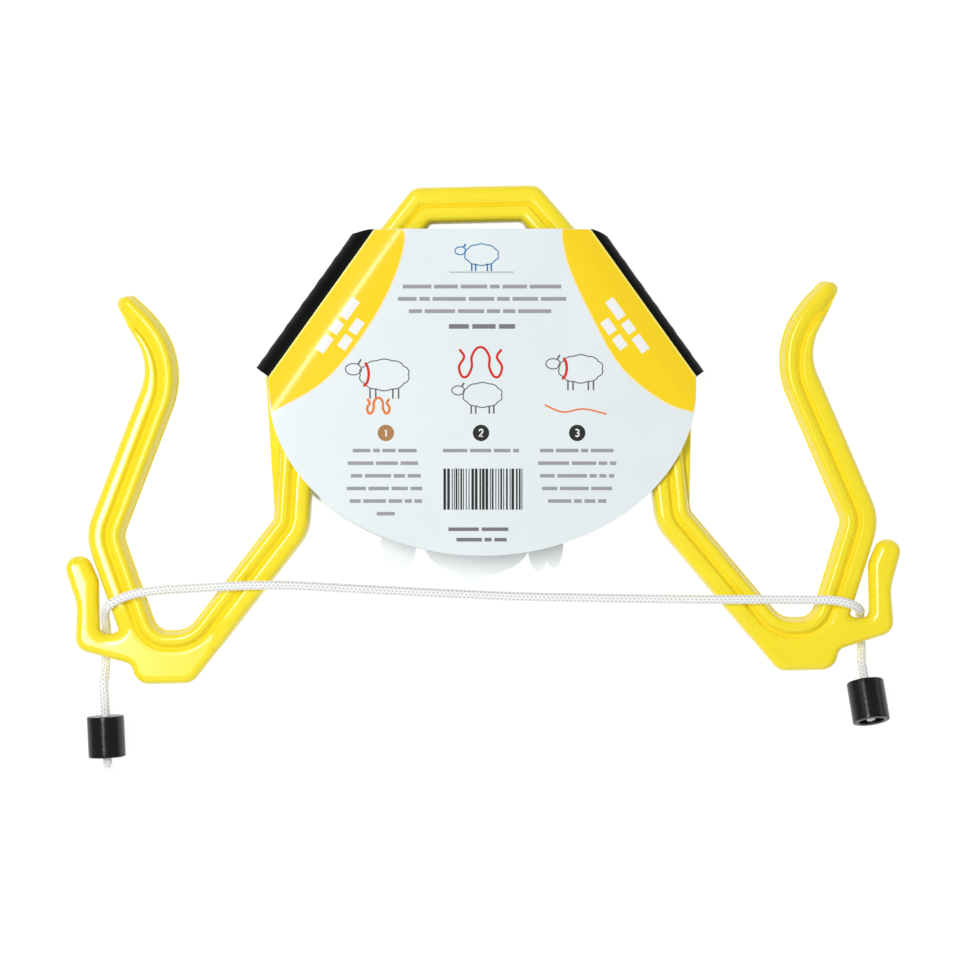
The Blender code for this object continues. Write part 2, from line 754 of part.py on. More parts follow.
def smooth_route(points):
    """Points close together on the smooth curve through the route's points."""
    points = np.array(points)
    padded = np.concatenate([2 * points[:1] - points[1:2], points, 2 * points[-1:] - points[-2:-1]])
    curve = []
    for a, b, c, d in zip(padded, padded[1:], padded[2:], padded[3:], strict=False):
        knots = [0.0]
        for p, q in ((a, b), (b, c), (c, d)):
            knots.append(knots[-1] + np.linalg.norm(q - p) ** 0.5)
        t0, t1, t2, t3 = knots
        for t in np.linspace(t1, t2, 24, endpoint=False):
            ab = a + (b - a) * (t - t0) / (t1 - t0)
            bc = b + (c - b) * (t - t1) / (t2 - t1)
            cd = c + (d - c) * (t - t2) / (t3 - t2)
            abc = ab + (bc - ab) * (t - t0) / (t2 - t0)
            bcd = bc + (cd - bc) * (t - t1) / (t3 - t1)
            curve.append(abc + (bcd - abc) * (t - t1) / (t2 - t1))
    curve.append(points[-1])
    return np.array(curve)


def thinned(curve):
    """Fewer points on a curve: close together where it bends, far apart where it is straight."""
    kept, last = [0], 0
    for i in range(1, len(curve) - 1):
        gone = np.linalg.norm(curve[i] - curve[last])
        way_in = curve[i] - curve[last]
        way_out = curve[i + 1] - curve[i]
        cosine = way_in @ way_out / np.linalg.norm(way_in) / np.linalg.norm(way_out)
        bent = math.acos(max(-1.0, min(1.0, float(cosine)))) > math.radians(9)
        if gone > CORD_LONGEST_STEP or bent and gone > CORD_BEND_STEP:
            kept.append(i)
            last = i
    return np.concatenate([curve[kept], curve[-1:]])


def build_cord(left, right, finish):
    """The cord, from inside the left stop's top wall to inside the right stop's."""
    route = []
    inside = STOP_END_WALL
    for along in (inside, *LEFT_TAIL):
        route.append(left[0] + left[1] * along)
    for x, up, over in np.array(ROUTE_MM) / 1000:
        route.append(np.array(placed(x, up, FRAME_TOP_Z + over)))
    for along in (*RIGHT_TAIL, inside):
        route.append(right[0] + right[1] * along)
    points = thinned(smooth_route(route))
    data = bpy.data.curves.new("cord", "CURVE")
    data.dimensions = "3D"
    spline = data.splines.new("POLY")
    spline.points.add(len(points) - 1)
    for spot, place in zip(spline.points, points, strict=True):
        spot.co = (*place, 1.0)
    data.bevel_depth = CORD_DIAMETER / 2
    data.bevel_resolution = 2
    data.use_fill_caps = True
    data.materials.append(finish)
    made = bpy.data.objects.new("cord", data)
    bpy.context.scene.collection.objects.link(made)
    long = np.linalg.norm(np.diff(points, axis=0), axis=1).sum()
    print(f"cord: {len(points)} points, {long:.4f} m")


def main():
    """Removes what is there and builds the part."""
    for old in list(bpy.data.objects):
        bpy.data.objects.remove(old)
    plastic = material("yellow_plastic", YELLOW, 0.25)
    braid = material("white_braid", WHITE_BRAID, 0.8)
    rubber = material("black_rubber", BLACK_RUBBER, 0.6)
    card = material("white_card", CARD_WHITE, 0.5)
    black_card = material("black_card", CARD_BLACK, 0.5)
    build_frame(plastic)
    sleeve = bpy.data.objects.new("sleeve", None)
    bpy.context.scene.collection.objects.link(sleeve)
    sleeve.location = placed(0.0, card_corners()[1][1], 0.0)
    sleeve.rotation_euler = (0.0, 0.0, SLEEVE_TURN)
    build_panel("display_panel", sleeve, FAR_SHIFT_X, 0.0, True, card)
    build_panel("instruction_panel", sleeve, NEAR_SHIFT_X, FRAME_TOP_Z + GAP, False, card)
    build_gusset("left_gusset", sleeve, -1, black_card)
    build_gusset("right_gusset", sleeve, 1, black_card)
    radius = STOP_DIAMETER / 2
    left = stop_axis(LEFT_STOP_TOP, radius + FLOOR_GAP, LEFT_STOP_TURN, 0.0)
    lowest = radius * math.cos(RIGHT_STOP_TIP)
    right = stop_axis(RIGHT_STOP_TOP, lowest + RIGHT_STOP_LIFT, RIGHT_STOP_TURN, RIGHT_STOP_TIP)
    for name, (top, way), proud in (
        ("left", left, LEFT_END_PROUD),
        ("right", right, RIGHT_END_PROUD),
    ):
        turned(f"{name}_stop", bush_profile(), top, way, rubber, sides=28, looped=True)
        knot = top + way * (STOP_END_WALL + GAP)
        turned(f"{name}_knot", knot_profile(proud), knot, way, braid, sides=20)
    build_cord(left, right, braid)


main()
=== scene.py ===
"""The looks of a sheep restrainer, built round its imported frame.

The yoke is one glossy yellow moulding, with a braided cord through its notches, a rubber
stop on each end of the cord, and a printed card sleeve folded over the neck arch. Lengths
are in metres, +Y runs towards the handle and +Z up, as in the frame. Heights along the yoke
that are named up run from the lower edge of its base plates.
"""

import logging
import math
from dataclasses import dataclass, field, replace
from enum import Enum

import bmesh
import bpy
import numpy as np
from mathutils import Matrix, Vector
from mathutils.geometry import delaunay_2d_cdt


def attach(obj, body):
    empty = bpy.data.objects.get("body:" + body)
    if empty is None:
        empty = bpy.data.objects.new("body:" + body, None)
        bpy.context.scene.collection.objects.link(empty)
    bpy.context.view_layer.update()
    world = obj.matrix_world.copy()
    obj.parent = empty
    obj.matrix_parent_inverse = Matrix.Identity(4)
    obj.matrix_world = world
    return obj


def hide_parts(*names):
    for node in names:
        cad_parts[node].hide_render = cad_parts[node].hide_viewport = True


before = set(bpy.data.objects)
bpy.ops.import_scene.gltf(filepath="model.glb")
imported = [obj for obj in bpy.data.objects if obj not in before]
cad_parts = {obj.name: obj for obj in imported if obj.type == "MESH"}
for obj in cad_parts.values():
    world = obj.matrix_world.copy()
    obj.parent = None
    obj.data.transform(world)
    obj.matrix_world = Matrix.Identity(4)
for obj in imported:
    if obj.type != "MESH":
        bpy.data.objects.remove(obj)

log = logging.getLogger("restrainer")
Array = np.ndarray
Place = tuple[float, float]
Triple = tuple[float, float, float]
Colour = Triple

MM = 0.001
CARD_THICKNESS = 0.0005
GAP = 0.0003
FRAME_THICKNESS = 0.0200
MID_Z = CARD_THICKNESS + GAP + FRAME_THICKNESS / 2
FRAME_TOP_Z = MID_Z + FRAME_THICKNESS / 2
ORIGIN_UP = 0.13785
CREASE_ANGLE = math.radians(50)
ARC_ROOM = 0.95


class Body(Enum):
    """The bodies that pieces ride on."""

    YOKE = "yoke"
    SLEEVE = "sleeve"
    LEFT_STOP = "left_stop"
    RIGHT_STOP = "right_stop"


class Slot(Enum):
    """The material slots of the frame."""

    YELLOW_PLASTIC = "yellow_plastic"
    WHITE_BRAID = "white_braid"
    BLACK_RUBBER = "black_rubber"
    WHITE_CARD = "white_card"
    BLACK_CARD = "black_card"


class Side(Enum):
    """The two sides of the yoke, as the sign of X."""

    LEFT = -1
    RIGHT = 1


# ---------------------------------------------------------------- meshes


class Shell:
    """Points and faces of one piece, gathered from grids, tubes and fans."""

    def __init__(self) -> None:
        """Starts with nothing in it."""
        self.points: list[Array] = []
        self.faces: list[list[int]] = []
        self.marks: list[Array] = []
        self.count = 0

    def add(self, points: Array, mark: Array | float = 0.0) -> int:
        """Adds points, each with a number or colour of its own.

        Args:
            points: Their places, in rows of three.
            mark: What the material reads at each point, or one value for all.

        Returns:
            The index of the first of them.
        """
        start = self.count
        flat = points.reshape(-1, 3)
        self.points.append(flat)
        mark = np.asarray(mark, float)
        if mark.ndim and mark.shape[0] == len(flat):
            self.marks.append(mark)
        else:
            self.marks.append(np.broadcast_to(mark, (len(flat), *mark.shape)).copy())
        self.count += len(flat)
        return start

    def grid(
        self, points: Array, mark: Array | float = 0.0, loop_rows: bool = False, loop_columns: bool = False
    ) -> int:
        """Adds a surface of two parameters, as a grid of points joined into quads.

        Args:
            points: Places in rows and columns, an array of rows by columns by three.
            mark: What the material reads at each point.
            loop_rows: Joins the last row to the first.
            loop_columns: Joins the last column to the first.

        Returns:
            The index of its first point.
        """
        rows, columns = points.shape[:2]
        start = self.add(points, mark)
        index = start + np.arange(rows * columns).reshape(rows, columns)
        if loop_rows:
            index = np.concatenate([index, index[:1]])
        if loop_columns:
            index = np.concatenate([index, index[:, :1]], axis=1)
        quads = np.stack([index[:-1, :-1], index[:-1, 1:], index[1:, 1:], index[1:, :-1]], axis=-1)
        self.faces += quads.reshape(-1, 4).tolist()
        return start

    def fan(self, ring: Array, tip: Array, mark: Array | float = 0.0) -> None:
        """Closes a ring of point indices with triangles to one tip.

        Args:
            ring: Indices of the ring's points, in order.
            tip: The place of the tip.
            mark: What the material reads at the tip.
        """
        end = self.add(np.asarray(tip, float)[None], mark)
        after = np.roll(ring, -1)
        self.faces += np.stack([ring, after, np.full(len(ring), end)], axis=1).tolist()

    def tube(self, rings: Array, mark: Array, start: Array, end: Array) -> None:
        """Adds closed rings joined into a tube, closed with a fan at each end.

        Args:
            rings: Places, rings by points by three.
            mark: What the material reads at each point.
            start: The tip of the first ring's fan.
            end: The tip of the last ring's fan.
        """
        first = self.grid(rings, mark.ravel(), loop_columns=True) + np.arange(rings.shape[1])
        self.fan(first, start)
        self.fan(first + rings.shape[1] * (len(rings) - 1), end)

    def piece(self, name: str, tidy: bool = True) -> bpy.types.Object:
        """Makes the gathered faces into a smooth object at the origin.

        Args:
            name: The piece's name.
            tidy: Merges doubles and turns the faces of a closed piece outwards.

        Returns:
            The new object.
        """
        mesh = bpy.data.meshes.new(name)
        mesh.from_pydata(np.concatenate(self.points), [], self.faces)
        marks = np.concatenate(self.marks)
        if marks.ndim == 1:
            layer = mesh.attributes.new("mark", "FLOAT", "POINT")
            layer.data.foreach_set("value", marks.astype(np.float32))
        else:
            layer = mesh.attributes.new("ink", "FLOAT_COLOR", "POINT")
            full = np.concatenate([marks, np.ones((len(marks), 1))], axis=1)
            layer.data.foreach_set("color", full.astype(np.float32).ravel())
        if tidy:
            work = bmesh.new()
            work.from_mesh(mesh)
            bmesh.ops.remove_doubles(work, verts=work.verts, dist=1e-6)
            bmesh.ops.recalc_face_normals(work, faces=work.faces)
            work.to_mesh(mesh)
            work.free()
        mesh.validate()
        mesh.shade_smooth()
        made = bpy.data.objects.new(name, mesh)
        bpy.context.scene.collection.objects.link(made)
        return made


def fit(
    shell: Shell,
    name: str,
    finish: bpy.types.Material,
    body: Body,
    node: str = "",
    tidy: bool = True,
    creased: bool = False,
) -> bpy.types.Object:
    """Makes a shell into a piece of the part.

    Args:
        shell: Its surface.
        name: The piece's name.
        finish: Its material.
        body: The body that it moves with.
        node: The node that it takes the place of, if any.
        tidy: Whether it is a closed piece, to be cleaned.
        creased: Whether its folds stay sharp.

    Returns:
        The piece.
    """
    made = shell.piece(name, tidy)
    made.data.materials.append(finish)
    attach(made, body.value)
    if creased:
        made.data.set_sharp_from_angle(angle=CREASE_ANGLE)
    if node:
        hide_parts(node)
    log.info("%s: %d faces", made.name, len(made.data.polygons))
    return made


def unit(vectors: Array) -> Array:
    """Vectors of length one, along the last axis."""
    return vectors / np.linalg.norm(vectors, axis=-1, keepdims=True)


def left_of(ways: Array) -> Array:
    """Plane ways turned a quarter to the left, along the last axis."""
    return np.stack([-ways[..., 1], ways[..., 0]], axis=-1)


def lengths(line: Array) -> Array:
    """The length gone along a line at each of its points."""
    return np.append(0.0, np.cumsum(np.linalg.norm(np.diff(line, axis=0), axis=1)))


def at_lengths(line: Array, wanted: Array) -> Array:
    """The places on a line where those lengths of it are gone."""
    gone = lengths(line)
    return np.stack([np.interp(wanted, gone, part) for part in line.T], axis=1)


def around(count: int) -> Array:
    """Angles evenly round a whole turn."""
    return np.linspace(0, 2 * math.pi, count, endpoint=False)


def meet(point: Array, way: Array, up: float) -> float:
    """The x where a line through a point, going that way, comes to a height."""
    return point[0] + way[0] * (up - point[1]) / way[1]


def onwards(rows: Array, k: Array, share: Array) -> Array:
    """What lies a share of the way from each row k to the row after it."""
    return rows[k] * (1 - share) + rows[k + 1] * share


def smoothstep(share: Array) -> Array:
    """0 below 0, 1 above 1, and 3t2 - 2t3 in between."""
    share = np.clip(share, 0.0, 1.0)
    return share * share * (3 - 2 * share)


def soft_max(a: Array, b: Array, reach: float) -> Array:
    """The larger of two, blended where they differ by less than reach.

    The blend adds (reach - |a - b|) squared over four reaches.
    """
    return np.maximum(a, b) + np.maximum(reach - np.abs(a - b), 0.0) ** 2 / (4 * reach)


def fillet(before: Array, corner: Array, after: Array, radius: Array, steps: int) -> Array:
    """Arcs that round one corner of many parallel lines.

    Each arc is centre + arm cos(t) + side sin(t), t from 0 to the line's turn. It is made
    smaller where it would need more room than its two sides have.

    Args:
        before: Each line's point before the corner.
        corner: The corner on each line.
        after: Each line's point after it.
        radius: Each line's radius.
        steps: Pieces of each arc.

    Returns:
        Points, steps + 1 by lines by two.
    """
    way_in, way_out = corner - before, after - corner
    room = ARC_ROOM * np.minimum(np.linalg.norm(way_in, axis=-1), np.linalg.norm(way_out, axis=-1))
    way_in, way_out = unit(way_in), unit(way_out)
    turn = np.arccos(np.clip((way_in * way_out).sum(-1), -1.0, 1.0))
    if steps == 0 or turn.max() < 0.01:
        return np.repeat(corner[None], steps + 1, axis=0)
    tangent = np.minimum(radius * np.tan(turn / 2), room)
    radius = tangent / np.tan(turn / 2)
    start = corner - way_in * tangent[:, None]
    centre = corner + unit(way_out - way_in) * (radius / np.cos(turn / 2))[:, None]
    arm, side = start - centre, way_in * radius[:, None]
    t = np.linspace(0.0, 1.0, steps + 1)[:, None, None] * turn[None, :, None]
    return centre + arm * np.cos(t) + side * np.sin(t)


def rounded(corners: list[Triple], degrees: float = 5.0) -> Array:
    """A closed outline through corners (x, y, radius), its corners rounded.

    Args:
        corners: Corners in order, with the radius that rounds each.
        degrees: The most that the outline turns at one point of an arc.

    Returns:
        The outline's points.
    """
    places = np.array([c[:2] for c in corners])
    ways_in = unit(places - np.roll(places, 1, axis=0))
    turns = np.degrees(np.arccos(np.clip((ways_in * np.roll(ways_in, -1, axis=0)).sum(1), -1, 1)))
    parts = []
    for i, (x, y, radius) in enumerate(corners):
        steps = max(1, round(turns[i] / degrees)) if radius else 0
        after = places[(i + 1) % len(places)]
        args = (places[i - 1][None], np.array([[x, y]]), after[None], np.array([radius]), steps)
        parts.append(fillet(*args)[:, 0])
    return np.concatenate(parts)


def filled(outline: Array, longest: float) -> Array:
    """A closed outline with more points on its long straight edges.

    Args:
        outline: The outline's points.
        longest: The longest edge that is left.

    Returns:
        The outline with the points added.
    """
    after = np.roll(outline, -1, axis=0)
    parts = []
    for start, end in zip(outline, after, strict=True):
        count = max(1, math.ceil(np.linalg.norm(end - start) / longest))
        parts.append(start + (end - start) * (np.arange(count) / count)[:, None])
    return np.concatenate(parts)


def inset(outline: Array, distance: float) -> Array:
    """A closed outline moved into its own area by that distance, its corners mitred.

    Args:
        outline: The outline's points.
        distance: How far it moves.

    Returns:
        The moved outline, point for point.
    """
    sides = left_of(unit(np.roll(outline, -1, axis=0) - outline))
    x, y = outline.T
    if (x * np.roll(y, -1) - np.roll(x, -1) * y).sum() < 0:
        sides = -sides
    before = np.roll(sides, 1, axis=0)
    mitre = (before + sides) / (1 + (before * sides).sum(axis=1))[:, None]
    return outline + mitre * distance


def inside(outline: Array, points: Array) -> Array:
    """Whether each point lies in a closed outline: a ray to the right crosses it oddly often.

    Args:
        outline: The outline's points.
        points: Places to test.

    Returns:
        True for each place inside.
    """
    a, b = outline, np.roll(outline, -1, axis=0)
    x, y = points[:, :1], points[:, 1:]
    spans = (a[:, 1] > y) != (b[:, 1] > y)
    rise = np.where(b[:, 1] == a[:, 1], 1e-12, b[:, 1] - a[:, 1])
    crossing = a[:, 0] + (y - a[:, 1]) * (b[:, 0] - a[:, 0]) / rise
    return (spans & (x < crossing)).sum(axis=1) % 2 == 1


def edge_distance(outline: Array, points: Array, sides: Array | None = None) -> Array:
    """How far each point lies from a closed outline, or from some of its sides.

    Args:
        outline: The outline's points.
        points: Places to measure from.
        sides: True for each side that counts, or nothing for all of them.

    Returns:
        The distance at each place.
    """
    way = np.roll(outline, -1, axis=0) - outline
    if sides is not None:
        outline, way = outline[sides], way[sides]
    gone = points[:, None] - outline[None]
    t = np.clip((gone * way).sum(-1) / np.maximum((way**2).sum(-1), 1e-18), 0.0, 1.0)
    return np.linalg.norm(gone - t[..., None] * way, axis=-1).min(axis=1)


def placed(flat: Array, height: Array | float) -> Array:
    """Points of the frame from places (x, up) and their height."""
    z = np.broadcast_to(height, flat.shape[:-1])
    return np.concatenate([flat - (0.0, ORIGIN_UP), z[..., None]], axis=-1)


# ------------------------------------------------------------- materials


class Wire:
    """A node's output that takes part in plain maths; each operation adds a Math node."""

    def __init__(self, tree: "Tree", socket: bpy.types.NodeSocket) -> None:
        """Holds a socket of that tree."""
        self.tree = tree
        self.socket = socket

    def _math(self, operation: str, *values: "Wire | float") -> "Wire":
        """One Math node over the given values."""
        return self.tree.node("ShaderNodeMath", {"operation": operation}, dict(enumerate(values)))

    def __add__(self, other: "Wire | float") -> "Wire":
        """self + other"""
        return self._math("ADD", self, other)

    __radd__ = __add__

    def __mul__(self, other: "Wire | float") -> "Wire":
        """self * other"""
        return self._math("MULTIPLY", self, other)

    def __rsub__(self, other: float) -> "Wire":
        """other - self"""
        return self._math("SUBTRACT", other, self)

    def between(self, low: float, high: float) -> "Wire":
        """0 at low and 1 at high, smooth between them and level beyond.

        Args:
            low: The value that becomes 0.
            high: The value that becomes 1.

        Returns:
            The share between them.
        """
        settings = {"interpolation_type": "SMOOTHSTEP"}
        sockets = {"Value": self, "From Min": low, "From Max": high}
        return self.tree.node("ShaderNodeMapRange", settings, sockets)


class Tree:
    """A material's nodes, made by one generic method."""

    def __init__(self, name: str) -> None:
        """Starts a material with only a Principled shader.

        Args:
            name: The material's name.
        """
        self.material = bpy.data.materials.new(name)
        self.material.use_nodes = True
        self.tree = self.material.node_tree
        self.shader = self.tree.nodes["Principled BSDF"]

    def feed(self, socket: bpy.types.NodeSocket, value: object) -> None:
        """Links a wire to a socket, or sets the socket's own value.

        Args:
            socket: The socket.
            value: A wire, or a plain value or colour.
        """
        if isinstance(value, Wire):
            self.tree.links.new(value.socket, socket)
        elif isinstance(value, tuple) and len(value) == 3 and socket.type == "RGBA":
            socket.default_value = (*value, 1.0)
        else:
            socket.default_value = value

    def node(self, kind: str, settings: dict, sockets: dict, output: int | str = 0) -> Wire:
        """Adds a node.

        Args:
            kind: The node's type.
            settings: Its settings, set first.
            sockets: Values or wires by the socket's name or number.
            output: Which output the wire is taken from.

        Returns:
            That output.
        """
        made = self.tree.nodes.new(kind)
        for key, value in settings.items():
            setattr(made, key, value)
        for key, value in sockets.items():
            self.feed(made.inputs[key], value)
        return Wire(self, made.outputs[output])

    def place(self) -> Wire:
        """The point on the object, in metres."""
        return self.node("ShaderNodeTexCoord", {}, {}, "Object")

    def mark(self, name: str = "mark", output: int | str = "Fac") -> Wire:
        """What the mesh's own attribute says at the point."""
        return self.node("ShaderNodeAttribute", {"attribute_name": name}, {}, output)

    def noise(self, waves: float, detail: float, rough: float = 0.5, at: Wire | None = None) -> Wire:
        """Soft noise with that many waves a metre."""
        sockets = {"Vector": at or self.place(), "Scale": waves, "Detail": detail, "Roughness": rough}
        return self.node("ShaderNodeTexNoise", {}, sockets)

    def stretched(self, ways: Triple) -> Wire:
        """The point on the object with its three coordinates scaled."""
        return self.node("ShaderNodeMapping", {}, {"Vector": self.place(), "Scale": ways})

    def blend(self, share: Wire | float, first: Wire | Colour, second: Wire | Colour) -> Wire:
        """A mix of two colours."""
        settings = {"data_type": "RGBA"}
        return self.node("ShaderNodeMix", settings, {0: share, 6: first, 7: second}, 2)

    def bump(self, height: Wire, strength: float, distance: float) -> Wire:
        """The surface's normal with that height on it, in metres at full strength."""
        sockets = {"Height": height, "Strength": strength, "Distance": distance}
        return self.node("ShaderNodeBump", {}, sockets)

    def finish(self, sockets: dict) -> bpy.types.Material:
        """Sets the shader's own sockets and gives the material.

        Args:
            sockets: Values or wires by the socket's name.

        Returns:
            The material.
        """
        for key, value in sockets.items():
            self.feed(self.shader.inputs[key], value)
        return self.material


@dataclass(frozen=True)
class GlossPlastic:
    """The yoke's glossy plastic: even colour with painted shade of darker orange in the groove, a fine orange
    peel and a little handling wear.
    """

    colour: Colour = (0.95, 0.79, 0.022)
    # deep is the darker orange of the painted shade in the groove.
    deep: Colour = (0.93, 0.66, 0.006)
    peel_waves: float = 1000.0
    peel_height: float = 0.00008

    def material(self) -> bpy.types.Material:
        """Builds the material.

        Returns:
            The material.
        """
        tree = Tree("gloss_plastic")
        cloud = tree.noise(38.0, 3.0)
        # shade holds a random tone and painted shade: the colour turns towards deep with the groove's depth.
        shade = cloud.between(0.35, 0.7) * 0.2 + tree.mark() * 0.35
        worn = tree.noise(310.0, 4.0, 0.7).between(0.58, 0.78)
        peel = tree.noise(self.peel_waves, 2.0) + tree.noise(120.0, 1.0) * 0.5
        return tree.finish(
            {
                "Base Color": tree.blend(shade, self.colour, self.deep),
                "Roughness": 0.17 + cloud * 0.07 + worn * 0.09 + tree.mark() * 0.45,
                "Normal": tree.bump(peel, 0.4, self.peel_height),
                "Coat Weight": 0.16 - tree.mark() * 0.16,
                "Coat Roughness": 0.06,
                "Specular IOR Level": 0.40,
            }
        )


@dataclass(frozen=True)
class BraidFinish:
    """White braided filament with painted shade: bright where a strand lies on top, painted grey in the
    hollows between strands.
    """

    top: Colour = (0.97, 0.97, 0.96)
    # hollow is the grey of the painted shade in the braid's hollows.
    hollow: Colour = (0.36, 0.42, 0.42)
    soil: Colour = (0.70, 0.69, 0.64)

    def material(self) -> bpy.types.Material:
        """Builds the material.

        Returns:
            The material.
        """
        tree = Tree("white_braid")
        fibre = tree.noise(2600.0, 3.0, 0.6)
        # The braid's height paints the hollows grey, as shade.
        strand_and_hollow_shade = tree.blend(tree.mark().between(0.05, 0.62), self.hollow, self.top)
        soiled = tree.noise(70.0, 3.0).between(0.5, 0.85) * 0.10
        return tree.finish(
            {
                "Base Color": tree.blend(soiled, strand_and_hollow_shade, self.soil),
                "Roughness": 0.62 + fibre * 0.2,
                "Normal": tree.bump(fibre, 0.5, 0.00008),
                "Sheen Weight": 0.25,
            }
        )


@dataclass(frozen=True)
class RubberFinish:
    """Cut black rubber tube: a soft sheen, fine lines round it and grey scuffs."""

    colour: Colour = (0.0015, 0.0030, 0.0030)
    scuffed: Colour = (0.060, 0.070, 0.070)

    def material(self) -> bpy.types.Material:
        """Builds the material.

        Returns:
            The material.
        """
        tree = Tree("black_rubber")
        grain = tree.noise(1300.0, 4.0, 0.6)
        lines = tree.noise(420.0, 3.0, 0.6, tree.stretched((0.15, 1.0, 0.15)))
        scuffs = tree.noise(240.0, 5.0, 0.75).between(0.62, 0.80)
        tint = tree.blend(scuffs * 0.45 + tree.mark() * 0.75, self.colour, self.scuffed)
        return tree.finish(
            {
                "Base Color": tint,
                "Roughness": 0.18 + grain * 0.12 + scuffs * 0.2 + tree.mark() * 0.2,
                "Specular IOR Level": 0.40,
                "Normal": tree.bump(grain + lines * 1.5, 0.32, 0.00010),
            }
        )


def card_relief(tree: Tree, fibre: Wire) -> Wire:
    """The card's normal: its own fibre and a slow waviness, under ink or not."""
    return tree.bump(fibre + tree.noise(60.0, 1.0) * 3.0, 0.35, 0.00006)


@dataclass(frozen=True)
class CardFinish:
    """Coated card: a faint fibre mottle under a soft gloss."""

    name: str
    colour: Colour
    mottled: Colour
    rough: float = 0.15
    sheen: float = 0.4

    def material(self) -> bpy.types.Material:
        """Builds the material.

        Returns:
            The material.
        """
        tree = Tree(self.name)
        fibre = tree.noise(1500.0, 4.0, 0.65)
        cloud = tree.noise(26.0, 2.0)
        tint = tree.blend(cloud.between(0.3, 0.75) * 0.6 + fibre * 0.2, self.colour, self.mottled)
        return tree.finish(
            {
                "Base Color": tint,
                "Roughness": self.rough + fibre * 0.12,
                "Specular IOR Level": self.sheen,
                "Normal": card_relief(tree, fibre),
                "Coat Weight": 0.15 * self.sheen,
                "Coat Roughness": 0.2,
            }
        )


@dataclass(frozen=True)
class InkFinish:
    """Printing ink on the coated card, in the colour that the mesh holds."""

    paper: Colour = (0.80, 0.80, 0.78)

    def material(self) -> bpy.types.Material:
        """Builds the material.

        Returns:
            The material.
        """
        tree = Tree("card_ink")
        specks = tree.noise(2200.0, 3.0, 0.7).between(0.64, 0.80)
        tint = tree.blend(specks * 0.10, tree.mark("ink", "Color"), self.paper)
        fibre = tree.noise(1500.0, 4.0, 0.65)
        return tree.finish(
            {
                "Base Color": tint,
                "Roughness": 0.13 + fibre * 0.08,
                "Specular IOR Level": 0.2,
                "Normal": card_relief(tree, fibre),
            }
        )


# ----------------------------------------------------------------- yoke


@dataclass(frozen=True)
class Corner:
    """A corner of the bar's centre line, and the bar's section there.

    slot and neck say how much each side has a sloping wall, from 0 to 1. drop is how far the
    neck side's ridge lies below the slot side's, groove how deep the groove between them is
    and aside how far it lies to the neck side of the centre line. Where lean nears 1 the
    groove runs out over the neck side's edge, and the slot side's ridge is all that is left.
    """

    x: float
    up: float
    radius: float = 0.0
    steps: int = 0
    slot: float = 1.0
    neck: float = 0.0
    width: float = 0.0207
    drop: float = 0.0
    groove: float = 0.0026
    aside: float = -0.0004
    lean: float = 0.0


